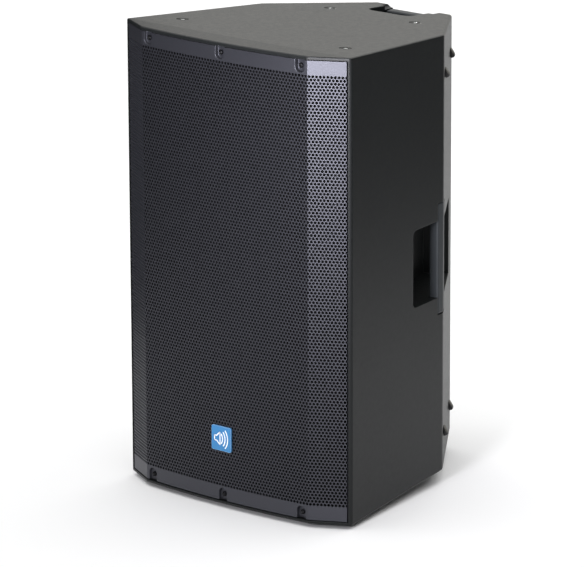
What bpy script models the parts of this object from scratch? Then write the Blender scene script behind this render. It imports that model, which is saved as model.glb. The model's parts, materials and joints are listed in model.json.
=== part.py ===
"""Two-way 15-inch loudspeaker cabinet with a moulded shell and a bent steel grille.

Metres, +Z up. The front faces -Y. The origin is the middle of the bounding box on the floor.
Depths written as d are measured backwards from the line through the two front corners.
"""

import math

import bmesh
import bpy
from mathutils import Matrix, Vector

# Cabinet outline, seen from above
FRONT_HALF = 0.215          # half width at the front corners
CREASE_HALF = 0.158         # half width of the middle panel of the grille
SIDE_HALF = 0.178           # half width where side and rear chamfer meet
REAR_HALF = 0.072           # half width of the flat rear face
FACET_RISE = 0.031          # how far the creases stand in front of the front corners
ARC_RISE = 0.009            # how far the middle of the front stands in front of the creases
SIDE_DEPTH = 0.260          # depth of the sides
BODY_DEPTH = 0.412          # depth of the rear face
BADGE_PROUD = 0.0023        # badge in front of the rim
REAR_Y = (BODY_DEPTH + FACET_RISE + ARC_RISE + BADGE_PROUD) / 2
FRONT_Y = REAR_Y - BODY_DEPTH

# Cabinet heights
SHELL_BOTTOM = 0.006        # underside at the front, above the floor
SHELL_HEIGHT = 0.700
SHELL_TOP = SHELL_BOTTOM + SHELL_HEIGHT
TOP_DRAFT = 0.061           # fall of the top per metre of depth
BOTTOM_DRAFT = 0.057        # rise of the underside per metre of depth
WALL = 0.008
EDGE_ROUND = 0.003
GAP = 0.0004                # clearance between neighbouring pieces

# Front: rim, grille and baffle
RIM = 0.005
RIM_DEPTH = 0.014
GRILLE_SETBACK = 0.001
GRILLE_SHEET = 0.0015
GRILLE_EDGE_GAP = 0.0011
GRILLE_RETURN = 0.010       # depth where the grille's folded edges end
BAFFLE_D = 0.026
BAFFLE_THICK = 0.018
BAFFLE_Y = FRONT_Y + BAFFLE_D
BAFFLE_BACK_D = BAFFLE_D + BAFFLE_THICK
LEDGE_THICK = 0.015
LEDGE_WIDTH = 0.010
SCREW_X = (-0.145, 0.0, 0.145)
SCREW_INSET = 0.009         # screw centre from the edge of the grille
SCREW_HOLE_R = 0.0026
BOSS_R = 0.0045
DIMPLE_WIDE = 0.016
DIMPLE_TALL = 0.020
DIMPLE_DEEP = 0.005
DIMPLE_SINK = 0.0019        # how far the pressed-in block starts behind the sheet's face
BADGE_SIDE = 0.038
BADGE_THICK = 0.003
BADGE_Z = 0.108

# Drive units
WOOFER_Z = 0.232
WOOFER_FLANGE_R = 0.194
WOOFER_HOLE_R = 0.1765
HORN_Z = 0.580
HORN_WIDE = 0.300
HORN_TALL = 0.196
HORN_LENGTH = 0.130
THROAT_R = 0.018
PORT_X = 0.148
PORT_Z = 0.436
PORT_R = 0.035
PORT_LENGTH = 0.120

# Handles
GRIP_Z = 0.353
GRIP_TALL = 0.171
GRIP_WIDE = 0.0165
GRIP_THICK = 0.016
POCKET_TALL = 0.118
POCKET_SIDE = 0.072
POCKET_CHAMFER = 0.110
POCKET_DEEP = 0.048
POCKET_WALL = 0.006
POCKET_SHALLOW = 0.8         # depth of the pocket's rear half as a share of its front half
CORNER_SINK = 0.51           # puts a pocket block's corner just under both faces
NOTCH_HALF = 0.042
NOTCH_DEEP = 0.0665
NOTCH_TALL = 0.050
NOTCH_ROUND = 0.014
BAR_DEEP = 0.019
BAR_TALL = 0.017
BAR_DROP = 0.0050           # bar's top below the top face
DIP_RUN = 0.009             # length of the scoop beside the bar

# Rigging, feet and rear panel
INSERT_SPOTS = ((0.156, 0.058), (0.082, 0.311))
INSERT_R = 0.009
INSERT_TALL = 0.020
THREAD_R = 0.0040
FOOT_SPOTS = ((0.150, 0.030), (0.095, 0.300))
FOOT_R = 0.014
WEDGE_ALONG = (0.020, 0.152)
WEDGE_HEIGHTS = (0.078, 0.630)
WEDGE_WIDE = 0.014
WEDGE_TALL = 0.016
WEDGE_PROUD = 0.0065
WEDGE_SLIM = 0.75           # outer face of the foot as a share of its base
WEDGE_RAMP = -0.25          # level of the outer face's top edge, a share of half the height
POLE_D = 0.200
POLE_R = 0.018
POLE_TALL = 0.090
PANEL_Z = 0.320
PANEL_WIDE = 0.104
PANEL_TALL = 0.150
PANEL_THICK = 0.0028
BOARD_Y = REAR_Y - 0.038
BOARD_THICK = 0.0016

ROUND = 32
SMALL_ROUND = 16
FACE_BACK = (-math.pi / 2, 0, 0)      # turns a shape's own +Z to point to the rear


# ---------------------------------------------------------------- scene and materials

def clear_scene():
    for old in list(bpy.data.objects):
        bpy.data.objects.remove(old, do_unlink=True)


def collection(name):
    group = bpy.data.collections.new(name)
    bpy.context.scene.collection.children.link(group)
    return group


def material(name, colour, roughness, metallic=0.0):
    made = bpy.data.materials.new(name)
    made.use_nodes = True
    shader = made.node_tree.nodes["Principled BSDF"]
    shader.inputs["Base Color"].default_value = (*colour, 1)
    shader.inputs["Roughness"].default_value = roughness
    shader.inputs["Metallic"].default_value = metallic
    made.diffuse_color = (*colour, 1)
    return made


clear_scene()
PARTS = collection("pa_speaker_cabinet")
CUTTERS = collection("cutters")

SHELL_BLACK = material("shell_black", (0.021, 0.024, 0.025), 0.55)
GRIP_BLACK = material("grip_black", (0.024, 0.027, 0.030), 0.50)
GRILLE_BLACK = material("grille_black", (0.030, 0.031, 0.038), 0.45, 0.3)
BAFFLE_BLACK = material("baffle_black", (0.012, 0.012, 0.013), 0.70)
FOAM_BLACK = material("foam_black", (0.010, 0.010, 0.011), 0.95)
BADGE_BLUE = material("badge_blue", (0.042, 0.296, 0.672), 0.35)
SCREW_BLACK = material("screw_black", (0.020, 0.020, 0.022), 0.35, 1.0)
RUBBER = material("rubber", (0.015, 0.015, 0.016), 0.80)
PAPER_BLACK = material("paper_black", (0.014, 0.014, 0.015), 0.85)
CAST_GREY = material("cast_grey", (0.060, 0.061, 0.064), 0.55, 0.4)
FERRITE = material("ferrite", (0.035, 0.035, 0.037), 0.60)
ZINC = material("zinc", (0.560, 0.570, 0.560), 0.30, 1.0)
HORN_BLACK = material("horn_black", (0.014, 0.014, 0.015), 0.40)
COPPER = material("copper", (0.640, 0.270, 0.110), 0.35, 1.0)
BOARD_GREEN = material("board_green", (0.020, 0.120, 0.060), 0.50)
CLOTH_AMBER = material("cloth_amber", (0.420, 0.240, 0.070), 0.85)
CERAMIC_WHITE = material("ceramic_white", (0.700, 0.680, 0.640), 0.70)
FILM_YELLOW = material("film_yellow", (0.620, 0.420, 0.060), 0.40)
WADDING_GREY = material("wadding_grey", (0.360, 0.360, 0.370), 0.95)
CABLE_BLACK = material("cable_black", (0.016, 0.016, 0.017), 0.55)


# ---------------------------------------------------------------- shape helpers

def keep(shape, paint, smooth=35):
    """Put a finished part in the object's collection, with its material and its shading."""
    PARTS.objects.link(shape)
    shape.data.materials.clear()
    shape.data.materials.append(paint)
    shape.data.shade_smooth()
    shape.data.set_sharp_from_angle(angle=math.radians(smooth))
    return shape


def tool(shape):
    """Put a shape that only cuts or joins other parts in the cutters' collection."""
    CUTTERS.objects.link(shape)
    shape.hide_render = True
    shape.display_type = 'WIRE'
    return shape


def combine(target, other, operation):
    change = target.modifiers.new(operation.lower(), 'BOOLEAN')
    change.operation = operation
    change.object = other


def cut(target, other):
    combine(target, tool(other), 'DIFFERENCE')


def join(target, other):
    combine(target, tool(other), 'UNION')


def mesh_object(name, bm):
    mesh = bpy.data.meshes.new(name)
    bm.to_mesh(mesh)
    bm.free()
    return bpy.data.objects.new(name, mesh)


def mirrored(shape):
    """Add the same shape on the other side of the cabinet."""
    shape.data.transform(shape.matrix_basis)
    shape.matrix_basis = Matrix.Identity(4)
    mirror = shape.modifiers.new("mirror", 'MIRROR')
    mirror.merge_threshold = 0.0001
    return shape


def bevelled(shape, width, segments=2, angle=24):
    bevel = shape.modifiers.new("bevel", 'BEVEL')
    bevel.width = width
    bevel.segments = segments
    bevel.limit_method = 'ANGLE'
    bevel.angle_limit = math.radians(angle)
    return shape


def box(name, low, high):
    bm = bmesh.new()
    bmesh.ops.create_cube(bm, size=1)
    low = Vector(low)
    high = Vector(high)
    for vert in bm.verts:
        half = vert.co + Vector((0.5, 0.5, 0.5))
        vert.co = [low[i] + (high[i] - low[i]) * half[i] for i in range(3)]
    return mesh_object(name, bm)


def rounded_box(name, low, high, radius, axis, segments=3):
    """A box whose four edges along one axis (0, 1 or 2) are rounded."""
    made = box(name, low, high)
    bm = bmesh.new()
    bm.from_mesh(made.data)
    chosen = []
    for edge in bm.edges:
        along = edge.verts[0].co - edge.verts[1].co
        if abs(along[axis]) > 0.9 * along.length:
            chosen.append(edge)
    bmesh.ops.bevel(bm, geom=chosen, offset=radius, segments=segments, profile=0.5,
                    affect='EDGES')
    bm.to_mesh(made.data)
    bm.free()
    return made


def cylinder(name, radius, length, centre, rotation=(0, 0, 0), sides=ROUND):
    """A cylinder on its own Z, with its middle at centre."""
    bm = bmesh.new()
    bmesh.ops.create_cone(bm, cap_ends=True, segments=sides, radius1=radius, radius2=radius,
                          depth=length)
    made = mesh_object(name, bm)
    made.location = centre
    made.rotation_euler = rotation
    return made


def runs_up(profile):
    """Whether the profile, closed by its last point, runs up its outer side."""
    area = 0
    for (radius_a, height_a), (radius_b, height_b) in zip(profile, profile[1:] + profile[:1]):
        area += radius_a * height_b - radius_b * height_a
    return area > 0


def turned(name, profile, centre, rotation=FACE_BACK, steps=ROUND, closed=True):
    """Turn a profile of (radius, height) points about its own Z axis.

    A closed profile makes a ring. An open one starts and ends on the axis.
    """
    bm = bmesh.new()
    if runs_up(profile):
        profile = profile[::-1]
    verts = [bm.verts.new((radius, 0, height)) for radius, height in profile]
    for first, second in zip(verts, verts[1:]):
        bm.edges.new((first, second))
    if closed:
        bm.edges.new((verts[-1], verts[0]))
    made = mesh_object(name, bm)
    made.location = centre
    made.rotation_euler = rotation
    screw = made.modifiers.new("turn", 'SCREW')
    screw.steps = steps
    screw.render_steps = steps
    screw.use_merge_vertices = True
    screw.merge_threshold = 0.00005
    return made


def welded_mesh(holder):
    """The mesh of a curve object, closed at its caps, with the curve removed."""
    bpy.context.scene.collection.objects.link(holder)
    bpy.context.view_layer.update()
    seen = holder.evaluated_get(bpy.context.evaluated_depsgraph_get())
    mesh = bpy.data.meshes.new_from_object(seen)
    place = holder.matrix_world.copy()
    name = holder.name
    bpy.data.objects.remove(holder, do_unlink=True)
    bm = bmesh.new()
    bm.from_mesh(mesh)
    bmesh.ops.remove_doubles(bm, verts=bm.verts, dist=0.00001)
    bmesh.ops.dissolve_limit(bm, angle_limit=math.radians(0.5), verts=bm.verts, edges=bm.edges)
    bmesh.ops.recalc_face_normals(bm, faces=bm.faces)
    bmesh.ops.transform(bm, matrix=place, verts=bm.verts)
    return mesh_object(name, bm)


def extruded(name, outline, low, high, rotation=(0, 0, 0), centre=(0, 0, 0)):
    """A flat outline of (x, y) points made solid from low to high along its own Z."""
    curve = bpy.data.curves.new(name, 'CURVE')
    curve.dimensions = '2D'
    curve.fill_mode = 'BOTH'
    curve.extrude = (high - low) / 2
    spline = curve.splines.new('POLY')
    spline.points.add(len(outline) - 1)
    for point, (x, y) in zip(spline.points, outline):
        point.co = (x, y, 0, 1)
    spline.use_cyclic_u = True
    holder = bpy.data.objects.new(name, curve)
    made = welded_mesh(holder)
    made.data.transform(Matrix.Translation((0, 0, (low + high) / 2)))
    made.location = centre
    made.rotation_euler = rotation
    return made


def tube(name, points, radius):
    """A round lead along a smooth line through points."""
    curve = bpy.data.curves.new(name, 'CURVE')
    curve.dimensions = '3D'
    curve.bevel_depth = radius
    curve.bevel_resolution = 2
    curve.use_fill_caps = True
    route = smooth_route([Vector(point) for point in points])
    spline = curve.splines.new('POLY')
    spline.points.add(len(route) - 1)
    for point, place in zip(spline.points, route):
        point.co = (*place, 1)
    return welded_mesh(bpy.data.objects.new(name, curve))


def smooth_route(points, steps=5):
    """Points along a Catmull-Rom curve through the given ones."""
    ends = [2 * points[0] - points[1]] + points + [2 * points[-1] - points[-2]]
    route = []
    for a, b, c, d in zip(ends, ends[1:], ends[2:], ends[3:]):
        for step in range(steps):
            t = step / steps
            route.append(0.5 * (2 * b + (c - a) * t + (2 * a - 5 * b + 4 * c - d) * t ** 2
                                + (3 * b - a - 3 * c + d) * t ** 3))
    return route + [points[-1]]


# ---------------------------------------------------------------- cabinet outline

def side_half(d):
    """Half width of the cabinet at depth d along its sides."""
    return FRONT_HALF - (FRONT_HALF - SIDE_HALF) * d / SIDE_DEPTH


def top_at(d):
    return SHELL_TOP - TOP_DRAFT * max(d, 0)


def bottom_at(d):
    return SHELL_BOTTOM + BOTTOM_DRAFT * max(d, 0)


def front_line(steps=12):
    """The bulged front, from its left crease to its right one."""
    line = []
    for step in range(steps + 1):
        across = 2 * step / steps - 1
        rise = FACET_RISE + ARC_RISE * (1 - across ** 2)
        line.append((CREASE_HALF * across, FRONT_Y - rise))
    return line


def front_y(x):
    """The rim's front face at x."""
    if abs(x) <= CREASE_HALF:
        return FRONT_Y - FACET_RISE - ARC_RISE * (1 - (x / CREASE_HALF) ** 2)
    return FRONT_Y - FACET_RISE * (FRONT_HALF - abs(x)) / (FRONT_HALF - CREASE_HALF)


def cabinet_plan():
    """The whole outline from above, anticlockwise."""
    rear = [(FRONT_HALF, 0), (SIDE_HALF, SIDE_DEPTH), (REAR_HALF, BODY_DEPTH)]
    right = [(x, FRONT_Y + d) for x, d in rear]
    left = [(-x, y) for x, y in reversed(right)]
    return front_line() + right + left


def inset(outline, distance):
    """The anticlockwise convex outline with every side moved inwards."""
    moved = []
    count = len(outline)
    for i in range(count):
        before = Vector(outline[i - 1])
        here = Vector(outline[i])
        after = Vector(outline[(i + 1) % count])
        first = (here - before).normalized()
        second = (after - here).normalized()
        normal_a = Vector((-first.y, first.x))
        normal_b = Vector((-second.y, second.x))
        corner = (normal_a + normal_b) / (1 + normal_a.dot(normal_b))
        moved.append(tuple(here + corner * distance))
    return moved


def draft(shape, middle=0.35):
    """Slope the top and the underside of a plan prism, as the moulding's draft does."""
    bm = bmesh.new()
    bm.from_mesh(shape.data)
    geometry = bm.verts[:] + bm.edges[:] + bm.faces[:]
    bmesh.ops.bisect_plane(bm, geom=geometry, dist=0.00005, plane_co=(0, FRONT_Y, 0),
                           plane_no=(0, 1, 0))
    for vert in bm.verts:
        depth = max(vert.co.y - FRONT_Y, 0)
        if vert.co.z > middle:
            vert.co.z -= TOP_DRAFT * depth
        else:
            vert.co.z += BOTTOM_DRAFT * depth
    bm.to_mesh(shape.data)
    bm.free()
    return shape


def band(margin, start, end):
    """Plan of the space between the two sides, less a margin, from depth start to end."""
    right = [(side_half(start) - margin, FRONT_Y + start), (side_half(end) - margin, FRONT_Y + end)]
    left = [(-x, y) for x, y in reversed(right)]
    return right + left


def side_frame():
    """Corner of side and chamfer on the right, with unit vectors along and out of each."""
    corner = Vector((SIDE_HALF, FRONT_Y + SIDE_DEPTH))
    along_side = (corner - Vector((FRONT_HALF, FRONT_Y))).normalized()
    along_chamfer = (Vector((REAR_HALF, REAR_Y)) - corner).normalized()
    out_side = Vector((along_side.y, -along_side.x))
    out_chamfer = Vector((along_chamfer.y, -along_chamfer.x))
    return corner, along_side, along_chamfer, out_side, out_chamfer


# ---------------------------------------------------------------- cabinet shell

def pocket_plan(margin):
    """The hand pocket behind a side grip, grown by a margin on its inner sides."""
    corner, along_side, along_chamfer, out_side, out_chamfer = side_frame()
    near = corner - along_side * (GRIP_WIDE + POCKET_SIDE + margin)
    far = corner + along_chamfer * (GRIP_WIDE + POCKET_CHAMFER + margin)
    return near, far, out_side, out_chamfer


def pocket_cutter():
    near, far, out_side, out_chamfer = pocket_plan(0)
    corner = side_frame()[0]
    reach = 0.020
    outline = [near - out_side * POCKET_DEEP, near + out_side * reach,
               corner + (out_side + out_chamfer) * reach, far + out_chamfer * reach,
               far - out_chamfer * POCKET_DEEP * POCKET_SHALLOW]
    made = extruded("pocket_cutter", outline, GRIP_Z - POCKET_TALL / 2, GRIP_Z + POCKET_TALL / 2)
    return round_corner(made, near, 0.008)


def round_corner(made, place, radius):
    """Round the two level edges of a pocket that run inwards at its front end."""
    bm = bmesh.new()
    bm.from_mesh(made.data)
    chosen = []
    for edge in bm.edges:
        middle = (edge.verts[0].co + edge.verts[1].co) / 2
        level = abs(edge.verts[0].co.z - edge.verts[1].co.z) < 0.0001
        along = Vector(edge.verts[0].co.xy - edge.verts[1].co.xy)
        inward = abs(along.normalized().dot(side_frame()[3])) > 0.99 if level else False
        if inward and (middle.xy - place).length < 0.03:
            chosen.append(edge)
    bmesh.ops.bevel(bm, geom=chosen, offset=radius, segments=3, profile=0.5, affect='EDGES')
    bm.to_mesh(made.data)
    bm.free()
    return made


def pocket_block():
    near, far, out_side, out_chamfer = pocket_plan(POCKET_WALL)
    corner = side_frame()[0]
    skin = WALL / 2
    deep = POCKET_DEEP + POCKET_WALL
    outline = [near - out_side * deep, near - out_side * skin,
               corner - (out_side + out_chamfer) * skin * CORNER_SINK,
               far - out_chamfer * skin,
               far - out_chamfer * (POCKET_DEEP * POCKET_SHALLOW + POCKET_WALL)]
    half = POCKET_TALL / 2 + POCKET_WALL
    return extruded("pocket_block", outline, GRIP_Z - half, GRIP_Z + half)


def grip_plan(margin, thick):
    """Section of the side grip, which wraps the corner of side and chamfer."""
    corner, along_side, along_chamfer, out_side, out_chamfer = side_frame()
    near = corner - along_side * (GRIP_WIDE + margin)
    far = corner + along_chamfer * (GRIP_WIDE + margin)
    bend = (out_side + out_chamfer) / (1 + out_side.dot(out_chamfer))
    inner = [far - out_chamfer * thick, corner - bend * thick, near - out_side * thick]
    return near, far, bend, inner


def grip_seat():
    """The space that a side grip fills, with its clearance."""
    near, far, bend, inner = grip_plan(GAP, GRIP_THICK + GAP)
    corner, _, _, out_side, out_chamfer = side_frame()
    reach = 0.020
    outline = [near + out_side * reach, corner + bend * reach, far + out_chamfer * reach] + inner
    half = GRIP_TALL / 2 + GAP
    return extruded("grip_seat", outline, GRIP_Z - half, GRIP_Z + half)


def grip_block():
    """The moulded walls round a side grip's two ends."""
    near, far, bend, inner = grip_plan(POCKET_WALL, GRIP_THICK + POCKET_WALL)
    corner, _, _, out_side, out_chamfer = side_frame()
    skin = WALL / 2
    outline = [near - out_side * skin, corner - bend * skin, far - out_chamfer * skin] + inner
    half = GRIP_TALL / 2 + POCKET_WALL
    return extruded("grip_block", outline, GRIP_Z - half, GRIP_Z + half)


def add_side_handles(shell):
    join(shell, mirrored(pocket_block()))
    join(shell, mirrored(grip_block()))
    cut(shell, mirrored(pocket_cutter()))
    cut(shell, mirrored(grip_seat()))


def add_top_notch(shell):
    """The recess for the top handle, open at the top and at the rear."""
    rear_top = top_at(BODY_DEPTH)
    floor = rear_top - NOTCH_TALL
    front = REAR_Y - NOTCH_DEEP
    wall = POCKET_WALL
    skin = WALL / 2
    join(shell, box("notch_block", (-NOTCH_HALF - wall, front - wall, floor - wall),
                    (NOTCH_HALF + wall, REAR_Y - skin, rear_top - skin)))
    cut(shell, rounded_box("notch_cutter", (-NOTCH_HALF, front, floor),
                           (NOTCH_HALF, REAR_Y + 0.02, rear_top + 0.03), NOTCH_ROUND, 2, 5))
    dip = dip_profile(rear_top)
    cut(shell, extruded("notch_dip", dip, -0.012, BAR_DEEP, (math.pi / 2, 0, 0), (0, REAR_Y, 0)))


def dip_profile(rear_top, steps=6):
    """The scoop beside the handle bar: flat at the bar's level, rising in a hollow curve."""
    flat = rear_top - BAR_DROP
    lid = rear_top + 0.03
    right = []
    for step in range(steps + 1):
        turn = math.pi / 2 * step / steps
        rise = (BAR_DROP + 0.002) * (1 - math.cos(turn))
        right.append((NOTCH_HALF + DIP_RUN * math.sin(turn), flat + rise))
    right.append((right[-1][0], lid))
    left = [(-x, z) for x, z in reversed(right)]
    return left + right


def add_insert_bosses(shell):
    """Bosses under the top for the rigging inserts, bored from above."""
    for x, d in INSERT_SPOTS:
        y = FRONT_Y + d
        top = top_at(d)
        floor = top - INSERT_TALL - 0.004
        tall = top - WALL / 2 - floor
        boss = cylinder("insert_boss", INSERT_R + 0.0035, tall, (x, y, floor + tall / 2),
                        sides=SMALL_ROUND)
        bore = cylinder("insert_bore", INSERT_R + GAP, 2 * INSERT_TALL + 0.002, (x, y, top),
                        sides=SMALL_ROUND)
        join(shell, mirrored(boss))
        cut(shell, mirrored(bore))


def add_pole_seat(shell):
    """The hole and the rebate in the underside for the pole socket."""
    y = FRONT_Y + POLE_D
    under = bottom_at(POLE_D)
    cut(shell, cylinder("pole_hole", POLE_R + 0.003 + GAP, 0.1, (0, y, under), sides=ROUND))
    rebate_top = under + 0.003
    cut(shell, cylinder("pole_rebate", POLE_R + 0.016 + GAP, 0.04, (0, y, rebate_top - 0.02)))


def add_panel_opening(shell):
    """The rebate and the hole in the rear face for the connection panel."""
    wide = PANEL_WIDE / 2 + GAP
    tall = PANEL_TALL / 2 + GAP
    rebate = PANEL_THICK + GAP
    lip = 0.006
    cut(shell, box("panel_rebate", (-wide, REAR_Y - rebate, PANEL_Z - tall),
                   (wide, REAR_Y + 0.01, PANEL_Z + tall)))
    cut(shell, box("panel_hole", (lip - wide, REAR_Y - 0.03, PANEL_Z - tall + lip),
                   (wide - lip, REAR_Y + 0.01, PANEL_Z + tall - lip)))


def inner_space():
    """The hollow behind the baffle's ledge."""
    outline = [point for point in inset(cabinet_plan(), WALL) if point[1] > FRONT_Y + 0.05]
    start = BAFFLE_BACK_D + LEDGE_THICK
    near = side_half(start) - WALL
    outline = [(-near, FRONT_Y + start), (near, FRONT_Y + start)] + outline
    return draft(extruded("inner_space", outline, SHELL_BOTTOM + WALL, SHELL_TOP - WALL))


def cabinet_shell():
    shell = draft(extruded("cabinet_shell", cabinet_plan(), SHELL_BOTTOM, SHELL_TOP))
    bevelled(shell, EDGE_ROUND)
    ahead = -0.06
    ledge_start = BAFFLE_BACK_D + GAP
    ledge_margin = WALL + LEDGE_WIDTH
    cut(shell, extruded("grille_recess", band(RIM, ahead, RIM_DEPTH),
                        SHELL_BOTTOM + RIM, SHELL_TOP - RIM))
    cut(shell, draft(extruded("baffle_space", band(WALL, ahead, ledge_start),
                              SHELL_BOTTOM + WALL, SHELL_TOP - WALL)))
    cut(shell, draft(extruded("ledge_space", band(ledge_margin, ahead, 0.07),
                              SHELL_BOTTOM + ledge_margin, SHELL_TOP - ledge_margin)))
    cut(shell, inner_space())
    add_side_handles(shell)
    add_top_notch(shell)
    add_insert_bosses(shell)
    add_pole_seat(shell)
    add_panel_opening(shell)
    return keep(shell, SHELL_BLACK)


# ---------------------------------------------------------------- handles

def side_grip(name, side):
    near, far, bend, inner = grip_plan(-GAP, GRIP_THICK - GAP)
    corner = side_frame()[0]
    outline = [near, corner, far] + inner
    outline = [(x * side, y) for x, y in outline][::side]
    half = GRIP_TALL / 2 - GAP
    grip = extruded(name, outline, GRIP_Z - half, GRIP_Z + half)
    bevelled(grip, 0.0025)
    return keep(grip, GRIP_BLACK)


def top_handle():
    """The bar across the rear of the notch, with hollow-curved ends."""
    rear_top = top_at(BODY_DEPTH)
    level = rear_top - BAR_DROP - GAP
    half = NOTCH_HALF - GAP
    outline = [(-half, level - BAR_TALL), (half, level - BAR_TALL), (half, level), (-half, level)]
    bar = extruded("top_handle", outline, GAP, BAR_DEEP, (math.pi / 2, 0, 0), (0, REAR_Y, 0))
    bevelled(bar, 0.004, 3)
    return keep(bar, GRIP_BLACK)


# ---------------------------------------------------------------- front

def grille_outline(setback):
    """Plan of the grille from its front face back to its folded edges."""
    half = side_half(GRILLE_RETURN) - RIM - GAP
    left_y = front_y(half) + GRILLE_SETBACK
    front = [(x, y + GRILLE_SETBACK) for x, y in front_line()]
    back = FRONT_Y + GRILLE_RETURN
    outline = [(-half, back), (-half, left_y)] + front + [(half, left_y), (half, back)]
    return inset(outline, setback)


def grille_low():
    return SHELL_BOTTOM + RIM + GRILLE_EDGE_GAP


def grille_high():
    return SHELL_TOP - RIM - GRILLE_EDGE_GAP


def screw_spots():
    """Every grille screw as (x, z, direction of the nearest grille edge)."""
    spots = []
    for x in SCREW_X:
        spots.append((x, grille_high() - SCREW_INSET, 1))
        spots.append((x, grille_low() + SCREW_INSET, -1))
    return spots


def dimple_front(x):
    """The sheet's front face at its most forward point over a dimple."""
    return min(front_y(x - DIMPLE_WIDE / 2), front_y(x), front_y(x + DIMPLE_WIDE / 2))


def dimple_floor(x):
    """The front face of a dimple's floor, on which the screw head sits."""
    return front_y(abs(x)) + GRILLE_SETBACK + DIMPLE_DEEP


def grille():
    sheet = extruded("grille", grille_outline(0), grille_low(), grille_high())
    inner = grille_outline(GRILLE_SHEET)
    back = FRONT_Y + GRILLE_RETURN + 0.02
    inner = [(x, back if y > FRONT_Y + 0.005 else y) for x, y in inner]
    cut(sheet, extruded("grille_inside", inner, grille_low() + GRILLE_SHEET,
                        grille_high() - GRILLE_SHEET))
    for x, z, way in screw_spots():
        add_dimple(sheet, x, z, way)
    return keep(sheet, GRILLE_BLACK, 20)


def add_dimple(sheet, x, z, way):
    """A U-shaped pocket that is open to the grille's edge, with a screw hole in its floor."""
    floor = dimple_floor(x)
    edge = z + way * SCREW_INSET
    bottom = edge - way * DIMPLE_TALL
    half = DIMPLE_WIDE / 2
    skin = GRILLE_SHEET
    low, high = sorted((bottom - way * skin, edge - way * skin / 2))
    join(sheet, box("dimple_block", (x - half - skin, dimple_front(x) + DIMPLE_SINK, low),
                    (x + half + skin, floor + skin, high)))
    low, high = sorted((bottom, edge + way * 0.01))
    cut(sheet, rounded_box("dimple_pocket", (x - half, FRONT_Y - 0.08, low),
                           (x + half, floor, high), 0.007, 1))
    cut(sheet, cylinder("dimple_hole", SCREW_HOLE_R, 0.02, (x, floor, z), FACE_BACK, 16))


def grille_foam():
    """The thin open foam behind the grille."""
    front = grille_outline(GRILLE_SHEET + 0.0010)
    half = max(x for x, y in front)
    face = [point for point in front if point[1] < FRONT_Y + 0.005]
    thick = 0.003
    back = [(x * (1 - thick / half), y + thick) for x, y in reversed(face)]
    margin = DIMPLE_TALL + GRILLE_SHEET + 0.002
    foam = extruded("grille_foam", face + back, grille_low() + margin, grille_high() - margin)
    return keep(foam, FOAM_BLACK, 20)


def grille_screw(name, x, z):
    floor = dimple_floor(x) - GAP
    profile = [(0, 0.020), (0.0022, 0.020), (0.0022, 0), (0.0037, 0), (0.0037, -0.0012),
               (0.0026, -0.0026), (0, -0.0030)]
    screw = turned(name, profile, (x, floor, z), steps=10, closed=False)
    return keep(screw, SCREW_BLACK)


def badge():
    front = front_y(0) - BADGE_PROUD
    half = BADGE_SIDE / 2
    plate = rounded_box("badge", (-half, front, BADGE_Z - half),
                        (half, front + BADGE_THICK, BADGE_Z + half), 0.003, 1, 4)
    return keep(plate, BADGE_BLUE)


def front_baffle():
    half = side_half(BAFFLE_BACK_D) - WALL - GAP * 1.5
    low = bottom_at(BAFFLE_BACK_D) + WALL + GAP
    high = top_at(BAFFLE_BACK_D) - WALL - GAP
    back_y = BAFFLE_Y + BAFFLE_THICK
    baffle = box("front_baffle", (-half, BAFFLE_Y, low), (half, back_y, high))
    for x, z, way in screw_spots():
        boss_front = dimple_floor(x) + GRILLE_SHEET + GAP
        length = BAFFLE_Y + 0.005 - boss_front
        post = cylinder("boss", BOSS_R, length, (x, boss_front + length / 2, z), FACE_BACK, 16)
        join(baffle, post)
        cut(baffle, cylinder("boss_bore", SCREW_HOLE_R, 0.05, (x, boss_front, z), FACE_BACK, 12))
    wall = 0.003
    middle = BAFFLE_Y + PORT_LENGTH / 2
    duct = cylinder("port_duct", PORT_R + wall, PORT_LENGTH - 0.002, (PORT_X, middle + 0.001, PORT_Z),
                    FACE_BACK, 32)
    bore = cylinder("port_bore", PORT_R, PORT_LENGTH + 0.04, (PORT_X, middle, PORT_Z), FACE_BACK, 32)
    join(baffle, mirrored(duct))
    cut(baffle, mirrored(bore))
    cut(baffle, cylinder("woofer_hole", WOOFER_HOLE_R, 0.1, (0, BAFFLE_Y, WOOFER_Z), FACE_BACK))
    wide = HORN_WIDE / 2 - 0.014
    tall = HORN_TALL / 2 - 0.014
    cut(baffle, box("horn_hole", (-wide, BAFFLE_Y - 0.02, HORN_Z - tall),
                    (wide, BAFFLE_Y + 0.04, HORN_Z + tall)))
    return keep(baffle, BAFFLE_BLACK)


def internal_brace():
    """The shelf between the woofer and the horn that stiffens the sides."""
    start = BAFFLE_BACK_D + LEDGE_THICK + 0.002
    end = 0.240
    low = PORT_Z + PORT_R + 0.007
    brace = extruded("internal_brace", band(WALL + GAP * 2, start, end), low, low + 0.010)
    half = side_half(end) - 0.060
    cut(brace, rounded_box("brace_window", (-half, FRONT_Y + start + 0.040, low - 0.01),
                           (half, FRONT_Y + end - 0.040, low + 0.02), 0.020, 2))
    return keep(brace, BAFFLE_BLACK)


# ---------------------------------------------------------------- woofer

def woofer_place():
    return (0, BAFFLE_Y, WOOFER_Z)


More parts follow.
